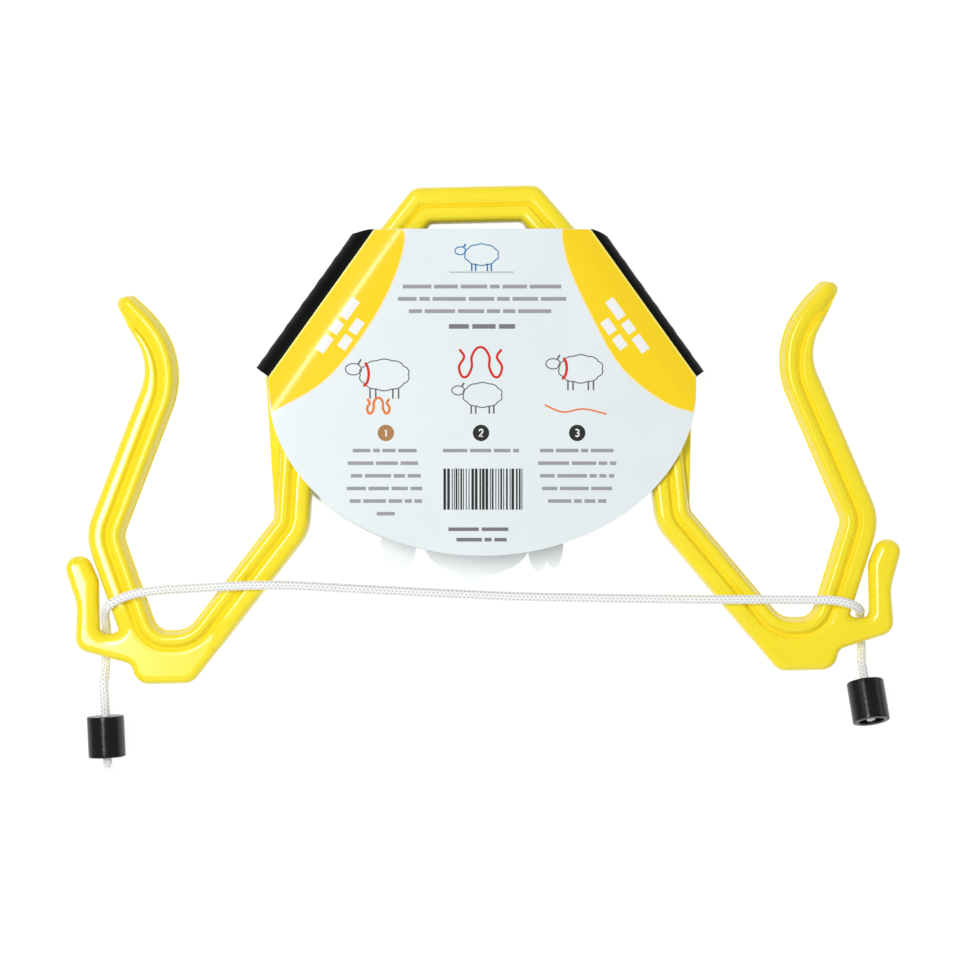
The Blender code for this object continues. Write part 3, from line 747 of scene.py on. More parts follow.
@dataclass
class Yoke:
    """The yellow moulding: a two-ridged bar, base plates with fingers, and shoulder webs."""

    finish: bpy.types.Material
    height: float = 0.2757
    bar_width: float = 0.0207
    # The section: its knots (in from the side, up), the shoulders of each ridge (length,
    # fall), the least radius of a rail at a corner, and the depth where the groove's painted shade is full.
    substeps: int = 4
    ridge_drop: float = 0.0022
    slot_groove: float = 0.0036
    neck_tightness: float = 0.28
    plain_side_mm: tuple[Place, ...] = (
        (0.0, 0.9), (0.15, 2.6), (0.45, 4.9), (1.0, 7.0), (1.9, 8.5), (3.3, 9.55), (5.2, 9.93), (7.8, 10.0)
    )
    walled_side_mm: tuple[Place, ...] = (
        (0.0, 0.8), (0.50, 1.2), (0.80, 2.3), (1.45, 5.2), (2.1, 7.3), (2.9, 8.90), (3.9, 9.80), (5.1, 10.0)
    )
    shoulders: tuple[Place, ...] = ((0.0030, 0.10), (0.0023, 0.04))
    least_radius: float = 0.0030
    shaded_depth: float = 0.0024
    # The centre line (x, up). The handle is x and the radius of its corner.
    handle: Place = (0.0302, -0.0010)
    shoulder: Place = (0.0993, 0.1812)
    foot: Place = (0.1070, 0.0872)
    slot_inner: Place = (0.1617, 0.0195)
    slot_outer: Place = (0.1909, 0.0195)
    knee: Place = (0.2125, 0.0839)
    bend: Place = (0.1730, 0.1806)
    tip: Place = (0.1958, 0.2130)
    tip_width: float = 0.0118
    taper: Place = (0.74, 0.0156)
    straight_step: float = 0.006
    # The base plates: half thickness, height of the middle, and how far in the edges round.
    plate_half: float = 0.0062
    face_middle: float = 0.0124
    plate_edge: float = 0.0042
    throat: Place = (0.2120, 0.0287)
    throat_edge: float = 0.0070
    fullness: float = 2.3
    edge_depths_mm: tuple[float, ...] = (0.0, 0.03, 0.12, 0.28, 0.5, 0.8, 1.2, 1.7)
    toe: tuple[Triple, ...] = ((0.1960, 0.0, 0.0095), (0.1988, 0.0114, 0.0055))
    finger: tuple[Triple, ...] = (
        (0.2299, 0.0206, 0.0080), (0.2285, 0.0454, 0.0250), (0.2367, 0.0726, 0.0070),
        (0.2220, 0.0726, 0.0070), (0.2160, 0.0590, 0.0120), (0.2160, 0.0288, 0.0040),
    )
    # Where the plates' faces meet the bar: distances to the neck side of its centre line.
    pitch: float = 0.0008
    flank_mm: tuple[float, ...] = (5.0, 6.0, 7.0, 7.8, 8.5, 9.1, 9.6, 10.0, 10.35, 10.8, 11.5)
    outer_ridge: float = 0.0025
    proud_from: Place = (0.0070, 0.0020)
    proud_by: Place = (0.0003, 0.0012)
    blend: Place = (0.00004, 0.0016)
    dive: float = 0.0030
    dive_width: float = 0.0022
    skin_dive: float = 0.0014
    hidden_in: float = 0.0006
    # The shoulder webs, and the corner of their outline (up, radius).
    web_half: float = 0.0020
    web_edge: float = 0.0012
    web_corner: Place = (0.1714, 0.0070)
    rails: Array = field(init=False)
    middle: Array = field(init=False)

    def corners(self) -> list[Corner]:
        """The right half of the bar's centre line, from the arm tip to the handle.

        Returns:
            The corners in order.
        """
        outer, inner = np.array(self.slot_outer), np.array(self.slot_inner)
        fade_arm = outer + (np.array(self.knee) - outer) * 0.34
        fade_neck = inner + (np.array(self.foot) - inner) * 0.26
        bend, tip = np.array(self.bend), np.array(self.tip)
        share, thin = self.taper
        taper = bend + (tip - bend) * share
        top = self.height - self.bar_width / 2
        sunk = {"drop": self.ridge_drop, "groove": self.slot_groove}
        return [
            Corner(*tip, width=self.tip_width, drop=0.0020, groove=0.0009, lean=1.0),
            Corner(*taper, width=thin, drop=0.0011, groove=0.0013, lean=0.8),
            Corner(*bend, 0.0400, 20),
            Corner(*self.knee, 0.0200, 16),
            Corner(*fade_arm),
            Corner(*outer, 0.0195, 22, **sunk),
            Corner(*inner, 0.0245, 18, **sunk),
            Corner(*fade_neck),
            Corner(*self.foot, 0.0160, 14),
            Corner(*self.shoulder, 0.0180, 14, slot=0.55, neck=0.3),
            Corner(self.handle[0], top, self.handle[1], 16, slot=0.0, aside=0.0014),
        ]

    def section(self, corner: Corner) -> Array:
        """The bar's upper half section at a corner, from the slot side to the neck side.

        Each side follows its own knots up to its ridge, and two flanks run down from the ridges
        to the groove between them. The line is the monotone cubic through all the knots: at
        each one its slope is the harmonic mean of the two chords' slopes, or 0 at a crest. As
        lean grows the slot side widens and the neck side closes up and sinks.

        Args:
            corner: The corner, with its widths and depths.

        Returns:
            Points (offset from the centre line, half height).
        """
        crest, scale, lean = FRAME_THICKNESS / 2, corner.width / self.bar_width, corner.lean
        plain, walled = np.array(self.plain_side_mm) * MM, np.array(self.walled_side_mm) * MM
        slot = (plain + (walled - plain) * corner.slot) * (math.sqrt(scale) * (1 + 0.5 * lean), 1)
        tight = scale * (1 - self.neck_tightness * corner.neck) * (1 - 0.92 * lean)
        sunk = (1 - corner.drop / crest) * (1 - 0.35 * lean)
        neck = (plain + (walled - plain) * corner.neck) * (tight, sunk)
        slot[:, 0] -= corner.width / 2
        neck[:, 0] = corner.width / 2 - neck[:, 0]
        end = neck[-1]
        aside = corner.aside + (end[0] * 0.97 - corner.aside) * lean
        deep = crest - corner.groove
        low = np.array((aside, deep + (end[1] * 0.98 - deep) * lean))
        sides = []
        for ridge, (long, soft) in zip((slot[-1], end), self.shoulders, strict=True):
            gone = low - ridge
            flank = min(long * scale * (1 + 1.6 * lean) / abs(gone[0]), 0.75)
            middle = 0.55 - 0.20 * lean
            shares = (((1 - flank) / 2, 0.4 * soft), (1 - flank, soft), (1 - 0.48 * flank, middle))
            sides.append(ridge + gone * shares)
        knots = np.concatenate([slot, sides[0], low[None], sides[1][::-1], neck[::-1]])
        u, h = knots.T
        run, chord = np.diff(u), np.diff(h) / np.diff(u)
        same = chord[:-1] * chord[1:] > 0
        total = np.where(same, chord[:-1] + chord[1:], 1.0)
        slope = np.where(same, 2 * chord[:-1] * chord[1:] / total, 0.0)
        slope = np.concatenate([chord[:1], slope, chord[-1:]])
        t = np.arange(self.substeps)[None] / self.substeps
        a, b, w = h[:-1, None], h[1:, None], run[:, None]
        into, out = slope[:-1, None] * w, slope[1:, None] * w
        fine = a + t * into + t**2 * (3 * (b - a) - 2 * into - out) + t**3 * (2 * (a - b) + into + out)
        across = u[:-1, None] + t * w
        return np.append(np.stack([across, fine], axis=-1).reshape(-1, 2), knots[-1:], axis=0)

    def carry(self) -> None:
        """Carries the section along the centre line, as rails offset from it.

        Each rail turns a corner on an arc round the centre line's own arc centre. The long
        straight stretches are then split, their heights following a smoothstep.
        """
        half = self.corners()
        corners = half + [replace(c, x=-c.x) for c in reversed(half)]
        places = np.array([(c.x, c.up) for c in corners])
        ways = unit(np.diff(places, axis=0))
        sides = -left_of(ways)
        before, after = np.concatenate([sides[:1], sides]), np.concatenate([sides, sides[-1:]])
        mitres = (before + after) / (1 + (before * after).sum(1))[:, None]
        turns = before[:, 0] * after[:, 1] - before[:, 1] * after[:, 0]
        sections = np.stack([self.section(c) for c in corners])
        offsets = np.concatenate([-sections[..., 0], np.zeros((len(corners), 1))], axis=1)
        lines = places[:, None] + mitres[:, None] * offsets[..., None]
        flat, heights = [], []
        for k, corner in enumerate(corners):
            if 0 < k < len(corners) - 1:
                radius = corner.radius + offsets[k] * np.sign(turns[k])
                radius = np.maximum(radius, self.least_radius)
                flat.append(fillet(lines[k - 1], lines[k], lines[k + 1], radius, corner.steps))
            else:
                flat.append(lines[k][None])
            heights.append(np.repeat(sections[k][None, :, 1], len(flat[-1]), axis=0))
        flat, heights = np.concatenate(flat), np.concatenate(heights)
        long = np.linalg.norm(np.diff(flat[:, -1], axis=0), axis=1)
        counts = np.maximum(1, np.ceil(long / self.straight_step).astype(int))
        station = np.repeat(np.arange(len(counts)), counts)
        within = np.concatenate([np.arange(n) / n for n in counts])
        t, s = within[:, None, None], smoothstep(within)[:, None]
        flat = np.append(onwards(flat, station, t), flat[-1:], axis=0)
        heights = np.append(onwards(heights, station, s), heights[-1:], axis=0)
        self.middle = flat[:, -1]
        self.rails = np.concatenate([flat[:, :-1], heights[..., None]], axis=-1)

    def bar_height(self, points: Array) -> tuple[Array, Array, Array]:
        """The bar's half height at places of the right half, falling away beyond its sides.

        Each place is measured from the nearest point of the centre line, and the section there
        is read at that distance to its side.

        Args:
            points: Places (x, up).

        Returns:
            The half height at each, its distance to the neck side of the centre line, and the
            half height of the neck side's ridge there.
        """
        half = len(self.middle) // 2
        line, rails = self.middle[:half], self.rails[:half]
        start, way = line[:-1], np.diff(line, axis=0)
        gone = points[:, None] - start[None]
        t = np.clip((gone * way).sum(-1) / (way**2).sum(-1), 0.0, 1.0)
        off = gone - t[..., None] * way
        near = np.argmin((off**2).sum(-1), axis=1)
        pick = np.arange(len(points))
        t, off, way = t[pick, near][:, None], off[pick, near], unit(way[near])
        across = (off * left_of(way)).sum(1)
        reach = np.linalg.norm(rails[..., :2] - line[:, None], axis=-1)
        reach *= np.sign(np.arange(reach.shape[1]) - np.argmin(reach, axis=1)[:, None] + 0.1)
        u, h = onwards(reach, near, t), onwards(rails[..., 2], near, t)
        k = np.clip((u < across[:, None]).sum(1) - 1, 0, u.shape[1] - 2)
        span = np.maximum(u[pick, k + 1] - u[pick, k], 1e-9)
        share = np.clip((across - u[pick, k]) / span, 0.0, 1.0)
        height = h[pick, k] * (1 - share) + h[pick, k + 1] * share
        beyond = np.maximum(np.abs(across) - np.maximum(u[:, -1], -u[:, 0]), 0.0)
        ridge = h[:, (len(self.plain_side_mm) + 7) * self.substeps]
        return height - 3.0 * beyond, across, ridge

    def groove_mark(self) -> Array:
        """How deep each point of the half section lies in the groove, from 0 to 1; the plastic's colour is
        painted darker by it, as shade.

        Returns:
            The depths, rings by points.
        """
        knots = len(self.plain_side_mm) + 3
        along = np.arange(self.rails.shape[1]) / self.substeps
        between = np.exp(-(((along - knots) / 2.0) ** 2))
        depth = self.rails[..., 2].max(axis=1, keepdims=True) - self.rails[..., 2]
        return np.clip(depth / self.shaded_depth, 0.0, 1.0) * between

    def bar(self) -> None:
        """The bar from arm tip to arm tip, its ends rounded like ellipsoids."""
        top = placed(self.rails[..., :2], MID_Z + self.rails[..., 2])
        low = placed(self.rails[..., :2], MID_Z - self.rails[..., 2])
        rings = np.concatenate([top, low[:, ::-1]], axis=1)
        # The groove's depth, which paints shade into the plastic's colour in the groove.
        mark = self.groove_mark()
        marks = np.concatenate([mark, mark[:, ::-1]], axis=1)
        way = unit(np.array(self.tip) - np.array(self.bend))
        angle = np.radians(np.arange(9, 90, 9))[:, None, None]
        caps = []
        for ring, sign in ((rings[0], 1), (rings[-1], -1)):
            centre = np.array([*ring[:, :2].mean(axis=0), MID_Z])
            squeeze = np.concatenate([np.cos(angle), np.cos(angle), np.cos(angle) ** 0.6], axis=-1)
            out = np.array([sign * way[0], way[1], 0.0]) * (self.tip_width / 2)
            caps.append(centre + (ring - centre) * squeeze + out * np.sin(angle))
        full = np.concatenate([caps[0][::-1], rings, caps[1]])
        fade = np.repeat(marks[:1] * 0, len(caps[0]), axis=0)
        shell = Shell()
        shell.tube(full, np.concatenate([fade, marks, fade]), full[0].mean(axis=0), full[-1].mean(axis=0))
        fit(shell, "yoke_bar", self.finish, Body.YOKE, "frame")

    def base_outline(self) -> Array:
        """The right base plate's outline, with its finger and its cord notch.

        Its first corner and its last three lie hidden in the bar.

        Returns:
            The outline's points (x, up).
        """
        half = self.bar_width / 2
        hide = 0.4 * half
        inner, outer = np.array(self.slot_inner), np.array(self.slot_outer)
        neck_way = unit(np.array(self.foot) - inner)
        arm_way = unit(np.array(self.knee) - outer)
        neck_side, arm_side = left_of(neck_way), -left_of(arm_way)
        edge = inner + neck_side * (half - 0.0004)
        hidden = self.slot_inner[1] + hide
        notch = self.finger[-1][1]
        return rounded(
            [
                (*(inner + neck_way * 0.0160 - neck_side * hide), 0.0),
                (*(edge + neck_way * 0.0060), 0.0),
                (meet(edge, neck_way, 0.0), 0.0, 0.0090),
                *self.toe,
                *self.finger,
                (meet(outer + arm_side * half, arm_way, notch) + 0.0008, notch, 0.0060),
                (*(outer + arm_way * 0.0210 + arm_side * (half - 0.0045)), 0.0),
                (*(outer + arm_way * 0.0190 - arm_side * hide), 0.0),
                (meet(outer - arm_side * hide, arm_way, hidden), hidden, 0.0),
                (meet(inner - neck_side * hide, neck_way, hidden), hidden, 0.0),
            ]
        )

    def beside(self, offsets: Array) -> Array:
        """Places at those distances to the neck side of the right half's centre line.

        Args:
            offsets: Distances to the neck side.

        Returns:
            Places (x, up), in rows.
        """
        line = self.middle[: len(self.middle) // 2]
        line = at_lengths(line, np.arange(0.0, lengths(line)[-1], self.pitch))
        side = left_of(unit(np.gradient(line, axis=0)))
        return (line[:, None] + side[:, None] * offsets[None, :, None]).reshape(-1, 2)

    def spots(self, outline: Array, depth: float) -> Array:
        """Places inside an outline: a lattice, and lines that follow the bar's outer flank.

        Args:
            outline: The outline (x, up).
            depth: How far inside it they start.

        Returns:
            The places.
        """
        corner, far = outline.min(axis=0), outline.max(axis=0)
        lattice = np.stack(np.meshgrid(*(np.arange(corner[i], far[i], self.pitch) for i in (0, 1))), -1)
        lattice = lattice.reshape(-1, 2)
        flank = self.beside(np.array(self.flank_mm) * MM)
        across = self.bar_height(lattice)[1]
        low, high = self.flank_mm[0] * MM, self.flank_mm[-1] * MM
        lattice = lattice[(across < low - self.pitch / 2) | (across > high + self.pitch / 2)]
        places = np.concatenate([lattice, flank])
        places = places[inside(outline, places)]
        return places[edge_distance(outline, places) > depth + 0.4 * self.pitch]

    def cushion(self, outline: Array, half: float, edge: float, blended: bool) -> Shell:
        """A plate whose whole edge is rounded like part of an ellipse.

        Rings close together follow the edge, and the rest is triangles between the last ring
        and places inside it.

        Args:
            outline: The plate's outline (x, up), on the right side.
            half: Half its thickness.
            edge: How far in the rounding reaches.
            blended: Whether the plate's faces run into the bar's.

        Returns:
            The shell, still on the right side.
        """
        outline = filled(outline, self.pitch * 1.2) if blended else outline
        depths = np.array(self.edge_depths_mm) * MM
        depths = depths[depths < edge * 0.95]
        steps = [inset(outline, d) for d in depths]
        spots = self.spots(outline, depths[-1]) if blended else np.zeros((0, 2))
        flat = np.concatenate([steps[-1], spots])
        loop = [list(range(len(outline)))]
        found = delaunay_2d_cdt([Vector(p) for p in flat / MM], [], loop, 1, 1e-6)
        cap, triangles = np.array(found[0]) * MM, found[2]
        shell = Shell()
        for way in (1, -1):
            rows = [self.face(step, outline, half, edge, way, blended) for step in steps]
            rows[0] = placed(steps[0], self.face_middle if blended else MID_Z)
            shell.grid(np.stack(rows), loop_columns=True)
            start = shell.add(self.face(cap, outline, half, edge, way, blended))
            shell.faces += [[start + i for i in face] for face in triangles]
        return shell

    def face(self, flat: Array, outline: Array, half: float, edge: float, way: int, blended: bool) -> Array:
        """A plate's face over some places, run softly into the bar where it stands near.

        At depth d inside an edge a web's half height is half sqrt(1 - (1 - d / edge)^2). A base
        plate's is fuller, with a higher power than 2. Its rounding reaches further in from its
        throat, and there is none where the outline is hidden in the bar. On the slot side of
        the bar's outer ridge, and where the bar stands well above it, the face dives under the
        bar's own skin.

        Args:
            flat: Places (x, up).
            outline: The plate's outline.
            half: Half the plate's thickness.
            edge: How far in its rounding reaches.
            way: 1 for the upper face and -1 for the lower one.
            blended: Whether the face runs into the bar's.

        Returns:
            Points of the frame.
        """
        if not blended:
            share = np.clip(1 - edge_distance(outline, flat) / edge, 0.0, 1.0)
            return placed(flat, MID_Z + way * half * np.sqrt(1 - share**2))
        middle = (outline + np.roll(outline, -1, axis=0)) / 2
        across = self.bar_height(middle)[1]
        throat = (middle[:, 1] > self.throat[1]) & (middle[:, 0] < self.throat[0] + 0.2 * middle[:, 1])
        hidden = across < self.bar_width / 2 - self.hidden_in
        own = np.full(len(flat), half)
        for sides, reach in ((throat & ~hidden, self.throat_edge), (~throat & ~hidden, edge)):
            share = np.clip(1 - edge_distance(outline, flat, sides) / reach, 0.0, 1.0)
            own = own * (1 - share**self.fullness) ** (1 / self.fullness)
        raised = way * (self.face_middle - MID_Z)
        own = own + raised
        bar, across, ridge = self.bar_height(flat)
        (least, ramp), (start, width) = self.proud_by, self.proud_from
        proud = smoothstep((ridge - half - raised - least) / ramp) * smoothstep((across - start) / width)
        blend = self.blend[0] + (self.blend[1] - self.blend[0]) * proud
        under = self.dive * smoothstep((self.outer_ridge - across) / self.dive_width)
        under = under + self.skin_dive * smoothstep((bar - own - 0.5 * blend) / (1.2 * blend))
        return placed(flat, MID_Z + way * (soft_max(own, bar, blend) - under))

    def web_outline(self) -> Array:
        """The right shoulder web's outline, which fills the arch's outer corner.

        Returns:
            The outline's points (x, up).
        """
        half = self.bar_width / 2
        shoulder, foot = np.array(self.shoulder), np.array(self.foot)
        slope = unit(shoulder - (self.handle[0], self.height - half))
        leg = unit(foot - shoulder)
        out, leg_out = left_of(slope), left_of(leg)
        edge, root = half - self.hidden_in, 0.2 * half
        outer = shoulder + out * edge
        up, radius = self.web_corner
        low = foot - leg * 0.0030
        return rounded(
            [
                (*(shoulder - slope * 0.0060 + out * root), 0.0),
                (*(outer - slope * 0.0020), 0.0),
                (meet(outer, slope, up), up, radius),
                (*(low + leg_out * edge), 0.0),
                (*(low + leg_out * (edge - 0.6 * half)), 0.0),
                (*(shoulder + leg_out * root), 0.0),
            ]
        )

    def build(self) -> None:
        """Builds the bar, and the plates and webs on both sides."""
        self.carry()
        self.bar()
        plates = {
            "base": (self.base_outline(), self.plate_half, self.plate_edge, True),
            "web": (self.web_outline(), self.web_half, self.web_edge, False),
        }
        for name, args in plates.items():
            shell = self.cushion(*args)
            right = np.concatenate(shell.points)
            for side in Side:
                shell.points = [right * (side.value, 1, 1)]
                piece = f"{side.name.lower()}_{name}"
                fit(shell, piece, self.finish, Body.YOKE)


# ------------------------------------------------------- cord and stops


class Stiffness(Enum):
    """How a cord bends."""

    LIMP = "limp"


def ways_round(along: Array, angles: Array) -> Array:
    """Ways square to each given way, at angles t round it: cos t across + sin t over.

    Args:
        along: Unit ways, in rows or a single one.
        angles: Angles t.

    Returns:
        Unit ways, by angle, for each way given.
    """
    across = unit(np.cross(along, np.array((1.0, 1.0, 1.0))))[..., None, :]
    over = np.cross(along, across[..., 0, :])[..., None, :]
    return np.cos(angles)[:, None] * across + np.sin(angles)[:, None] * over


def rings_on(path: Array, radius: Array, angles: Array) -> Array:
    """Rings of points round a path, the radius given by path points by angles."""
    return path[:, None] + radius[..., None] * ways_round(unit(np.gradient(path, axis=0)), angles)


def braid(along: Array, angle: Array, lay: float, strands: int = 8) -> Array:
    """How high the braid stands at places on a cord, from 0 in a hollow to 1 on a strand.

    Two families of strands wind opposite ways, each as the whole part of n t / 2 pi + n s / lay
    and of n t / 2 pi - n s / lay. One lies on top where their sum, in fours, is below two, and a
    strand's height is the cosine across it times an arch along the stretch that it shows.

    Args:
        along: Lengths s along the cord.
        angle: Angles t round it.
        lay: The length of one turn of a strand.
        strands: Strands n in each family.

    Returns:
        The height at each place.
    """
    turn, run = strands * angle / (2 * math.pi), strands * along / lay
    one, other = turn + run, turn - run
    shift = np.mod(one + other, 4.0)
    upper = shift < 2.0
    across = np.where(upper, np.mod(one, 1.0), np.mod(other, 1.0)) - 0.5
    shown = np.mod(shift, 2.0) / 2.0
    return np.cos(math.pi * across) ** 0.7 * (0.35 + 0.65 * np.sin(math.pi * shown) ** 0.6)


@dataclass
class Stop:
    """A rubber stop: its upper end, the way down its axis, and the knot in it.

    proud is how far the knot stands out of the bore, fray how long its loose ends are, and
    seed what their chance ways are drawn from.
    """

    top: Array
    way: Array
    proud: float
    fray: float
    seed: int

    @classmethod
    def at(cls, place: Triple, turn: float, tip: float, *knot: float | int) -> "Stop":
        """A stop from its upper end (x, up, z), its two tilts in degrees and its knot.

        Args:
            place: The upper end (x, up, z).
            turn: Its tilt across the yoke, in degrees.
            tip: How far its lower end is raised, in degrees.
            knot: How proud its knot is, its fray and its seed.

        Returns:
            The stop.
        """
        (x, up, z), a, b = place, math.radians(turn), math.radians(tip)
        way = (math.sin(a) * math.cos(b), -math.cos(a) * math.cos(b), math.sin(b))
        return cls(np.array((x, up - ORIGIN_UP, z)), np.array(way), *knot)


@dataclass
class CordSet:
    """The braided cord over the yoke, its two knots and the two rubber stops."""

    braid_finish: bpy.types.Material
    rubber: bpy.types.Material
    diameter: float = 0.0050
    lay: float = 0.0184
    relief: float = 0.00034
    stop_diameter: float = 0.0208
    stop_length: float = 0.0230
    stop_bore: float = 0.0143
    end_wall: float = 0.0035
    knot_diameter: float = 0.0116
    knot_length: float = 0.0118
    stops: dict[Side, Stop] = field(
        default_factory=lambda: {
            Side.LEFT: Stop.at((-0.2143, -0.01765, 0.0105), 1.5, 0.0, 0.0040, 0.0042, 7),
            Side.RIGHT: Stop.at((0.2129, -0.00715, 0.013163), 5.7, 18.5, -0.0010, 0.0016, 11),
        }
    )
    # The cord's way between its straight runs into the stops (x, y, z).
    route_step: float = 0.00028
    route_mm: tuple[Triple, ...] = (
        (-214.4, -129.5, 6.3), (-214.1, -121.0, 3.4), (-213.8, -114.8, 3.0), (-213.3, -109.4, 4.7),
        (-212.9, -104.5, 8.9), (-212.7, -99.4, 14.6), (-211.2, -95.0, 20.0), (-207.0, -91.3, 23.7),
        (-197.0, -87.2, 24.5), (-181.5, -85.0, 23.7), (-162.0, -84.3, 22.9), (-141.0, -83.5, 24.0),
        (-122.0, -83.3, 23.7), (-104.0, -84.1, 21.9), (-80.0, -86.0, 19.1), (-50.0, -88.3, 16.6),
        (-15.0, -90.8, 15.4), (20.0, -93.0, 15.5), (55.0, -94.4, 17.1), (85.0, -95.4, 20.0),
        (106.0, -96.0, 22.5), (122.0, -96.4, 23.9), (142.0, -96.8, 24.2), (162.0, -97.4, 23.1),
        (182.0, -97.9, 24.0), (196.0, -98.6, 24.6), (204.6, -100.8, 23.6), (209.2, -103.4, 19.4),
        (211.0, -105.0, 14.0), (211.7, -106.0, 8.7), (212.1, -108.9, 4.8), (212.3, -113.8, 3.1),
        (212.5, -119.5, 3.1), (212.5, -126.5, 5.2),
    )
    # How far a strand stands out of the round cord, and the finer forms of knots and stops.
    strand_edge: float = 0.0001
    knot_relief: float = 0.0003
    knot_hollow: float = 0.26
    knot_twist: float = 900.0
    knot_step: float = 0.0003
    least_radius: float = 0.00005
    filaments: int = 46
    filament_radius: float = 0.00019
    stop_hole: float = 0.0032
    stop_edge: float = 0.0007
    stop_wave: Place = (0.00010, 0.00006)

    def route(self) -> Array:
        """Points close together on the smooth curve through the route, stop to stop.

        The curve is a centripetal Catmull-Rom spline, evened out to one step along its length.

        Returns:
            The path's points.
        """
        left, right = self.stops[Side.LEFT], self.stops[Side.RIGHT]
        ends = [left.top + left.way * s for s in (self.end_wall, 0.0, -0.009, -0.018)]
        far = [right.top + right.way * s for s in (-0.0125, -0.006, 0.0, self.end_wall)]
        points = np.array([*ends, *(np.array(self.route_mm) * MM), *far])
        return smooth_curve(points, self.route_step)

    def cord(self, path: Array) -> bpy.types.Object:
        """The braided cord: a tube whose strands stand up by the braid's own height.

        Args:
            path: The path's points.

        Returns:
            The piece.
        """
        angles = around(48)
        high = braid(lengths(path)[:, None], angles[None], self.lay)
        radius = self.diameter / 2 + self.strand_edge - self.relief * (1 - high)
        shell = Shell()
        # The braid's height is also the mark, which paints the hollows between strands grey as shade.
        shell.tube(rings_on(path, radius, angles), high, path[0], path[-1])
        return fit(shell, "braided_cord", self.braid_finish, Body.YOKE, "cord")

    def knot(self, side: Side) -> bpy.types.Object:
        """A tied knot: three strands wound round a ball, then the cord's frayed end.

        The turned profile is narrowed between the strands, times 1 - hollow ball (1 - l^0.6),
        with l = (1 + cos(3 t + twist s)) / 2 at angle t and length s. The fray is a bundle of
        thin filaments that lean outwards.

        Args:
            side: Whose stop it sits in.

        Returns:
            The piece.
        """
        stop = self.stops[side]
        start = stop.top + stop.way * (self.end_wall + GAP)
        end = self.stop_length - self.end_wall - GAP + stop.proud
        swell = np.radians(np.linspace(-89, 52, 44))
        tail = np.linspace(self.knot_length, end, max(4, round((end - self.knot_length) / self.knot_step)))
        along = np.concatenate([self.knot_length / 2 * (1 + np.sin(swell)), tail])[:, None]
        wide = self.knot_diameter / 2 * np.cos(swell) ** 0.8
        wide = np.concatenate([wide, np.full(len(tail), self.diameter / 2)])[:, None]
        angles = around(56)
        ball = smoothstep((wide - self.diameter / 2) / 0.0012)
        lobes = 0.5 + 0.5 * np.cos(3 * angles + self.knot_twist * along)
        fine = braid(along, angles[None], self.lay * 0.6)
        radius = wide * (1 - self.knot_hollow * ball * (1 - lobes**0.6)) - self.knot_relief * (1 - fine)
        path = start + along * stop.way
        # The mark paints the braid grey in its hollows and between the knot's lobes, as shade.
        mark = np.clip(fine * (0.35 + 0.65 * np.where(ball > 0.3, lobes, 1.0)), 0, 1)
        shell = Shell()
        rings = rings_on(path, np.maximum(radius, self.least_radius), angles)
        shell.tube(rings, mark, path[0], path[-1] + stop.way * self.knot_step)
        self.fray(shell, path[-1], stop)
        name = side.name.lower()
        finish = self.braid_finish
        return fit(shell, f"{name}_tied_knot", finish, Body.YOKE, f"{name}_knot")

    def fray(self, shell: Shell, end: Array, stop: Stop) -> None:
        """Thin filaments out of the cord's cut end, each on a short parabola outwards.

        Args:
            shell: The knot's shell, which takes the filaments.
            end: Where the cord ends.
            stop: The stop that the knot sits in.
        """
        draw = np.random.default_rng(stop.seed)
        across = unit(np.cross(stop.way, (0.0, 0.0, 1.0)))
        over = np.cross(stop.way, across)
        sides, steps = 5, 6
        angles, t = around(sides), np.linspace(0.0, 1.0, steps)[:, None]
        for _ in range(self.filaments):
            spot, lean = draw.uniform(0, 2 * math.pi), draw.uniform(0.1, 0.9)
            away = math.cos(spot) * across + math.sin(spot) * over
            reach = stop.fray * draw.uniform(0.45, 1.0)
            root = end - stop.way * 0.0008 + away * self.diameter / 2 * draw.uniform(0.1, 0.85)
            path = root + stop.way * reach * t + away * reach * lean * 0.6 * t**2
            radius = np.broadcast_to(self.filament_radius * (1 - 0.5 * t), (steps, sides))
            rings = rings_on(path, radius, angles)
            first = shell.grid(rings, draw.uniform(0.5, 1.0), loop_columns=True)
            shell.fan(first + sides * (steps - 1) + np.arange(sides), path[-1], 0.9)

    def stop(self, side: Side) -> bpy.types.Object:
        """A length of cut rubber tube with a small hole at the top and a wide bore below.

        It is turned: a closed profile of rounded corners carried round the stop's axis.

        Args:
            side: Which of the two it is.

        Returns:
            The piece.
        """
        stop = self.stops[side]
        outer, bore, hole = self.stop_diameter / 2, self.stop_bore / 2, self.stop_hole
        long, wall, soft = self.stop_length, self.end_wall, self.stop_edge
        outside = [(hole, 0.0, 0.0003), (outer, 0.0, soft), (outer, long, soft)]
        corners = [*outside, (bore, long, 0.0005), (bore, wall, 0.0012), (hole, wall, 0.0003)]
        profile = filled(rounded(corners, 12.0), 0.0016)
        angles = around(96)
        slow, quick = self.stop_wave
        wave = slow * np.sin(3 * angles + side.value) + quick * np.sin(7 * angles)
        radius = profile[:, :1] + wave[None] * (profile[:, :1] > bore + 0.0005)
        path = stop.top + profile[:, 1:] * stop.way
        points = path[:, None] + radius[..., None] * ways_round(stop.way, angles)
        face = smoothstep((profile[:, 1] - long + 0.0006) / 0.0005) * (profile[:, 0] > bore - 0.0002)
        marks = np.repeat(face * 0.8, len(angles))
        shell = Shell()
        shell.grid(points, marks, loop_rows=True, loop_columns=True)
        name = side.name.lower()
        body = Body.LEFT_STOP if side is Side.LEFT else Body.RIGHT_STOP
        return fit(shell, f"{name}_rubber_stop", self.rubber, body, f"{name}_stop")

    def build(self) -> None:
        path = self.route()
        made = self.cord(path)
        pieces = [make(side) for side in Side for make in (self.knot, self.stop)]
        log.info("cord length %.4f", lengths(path)[-1])


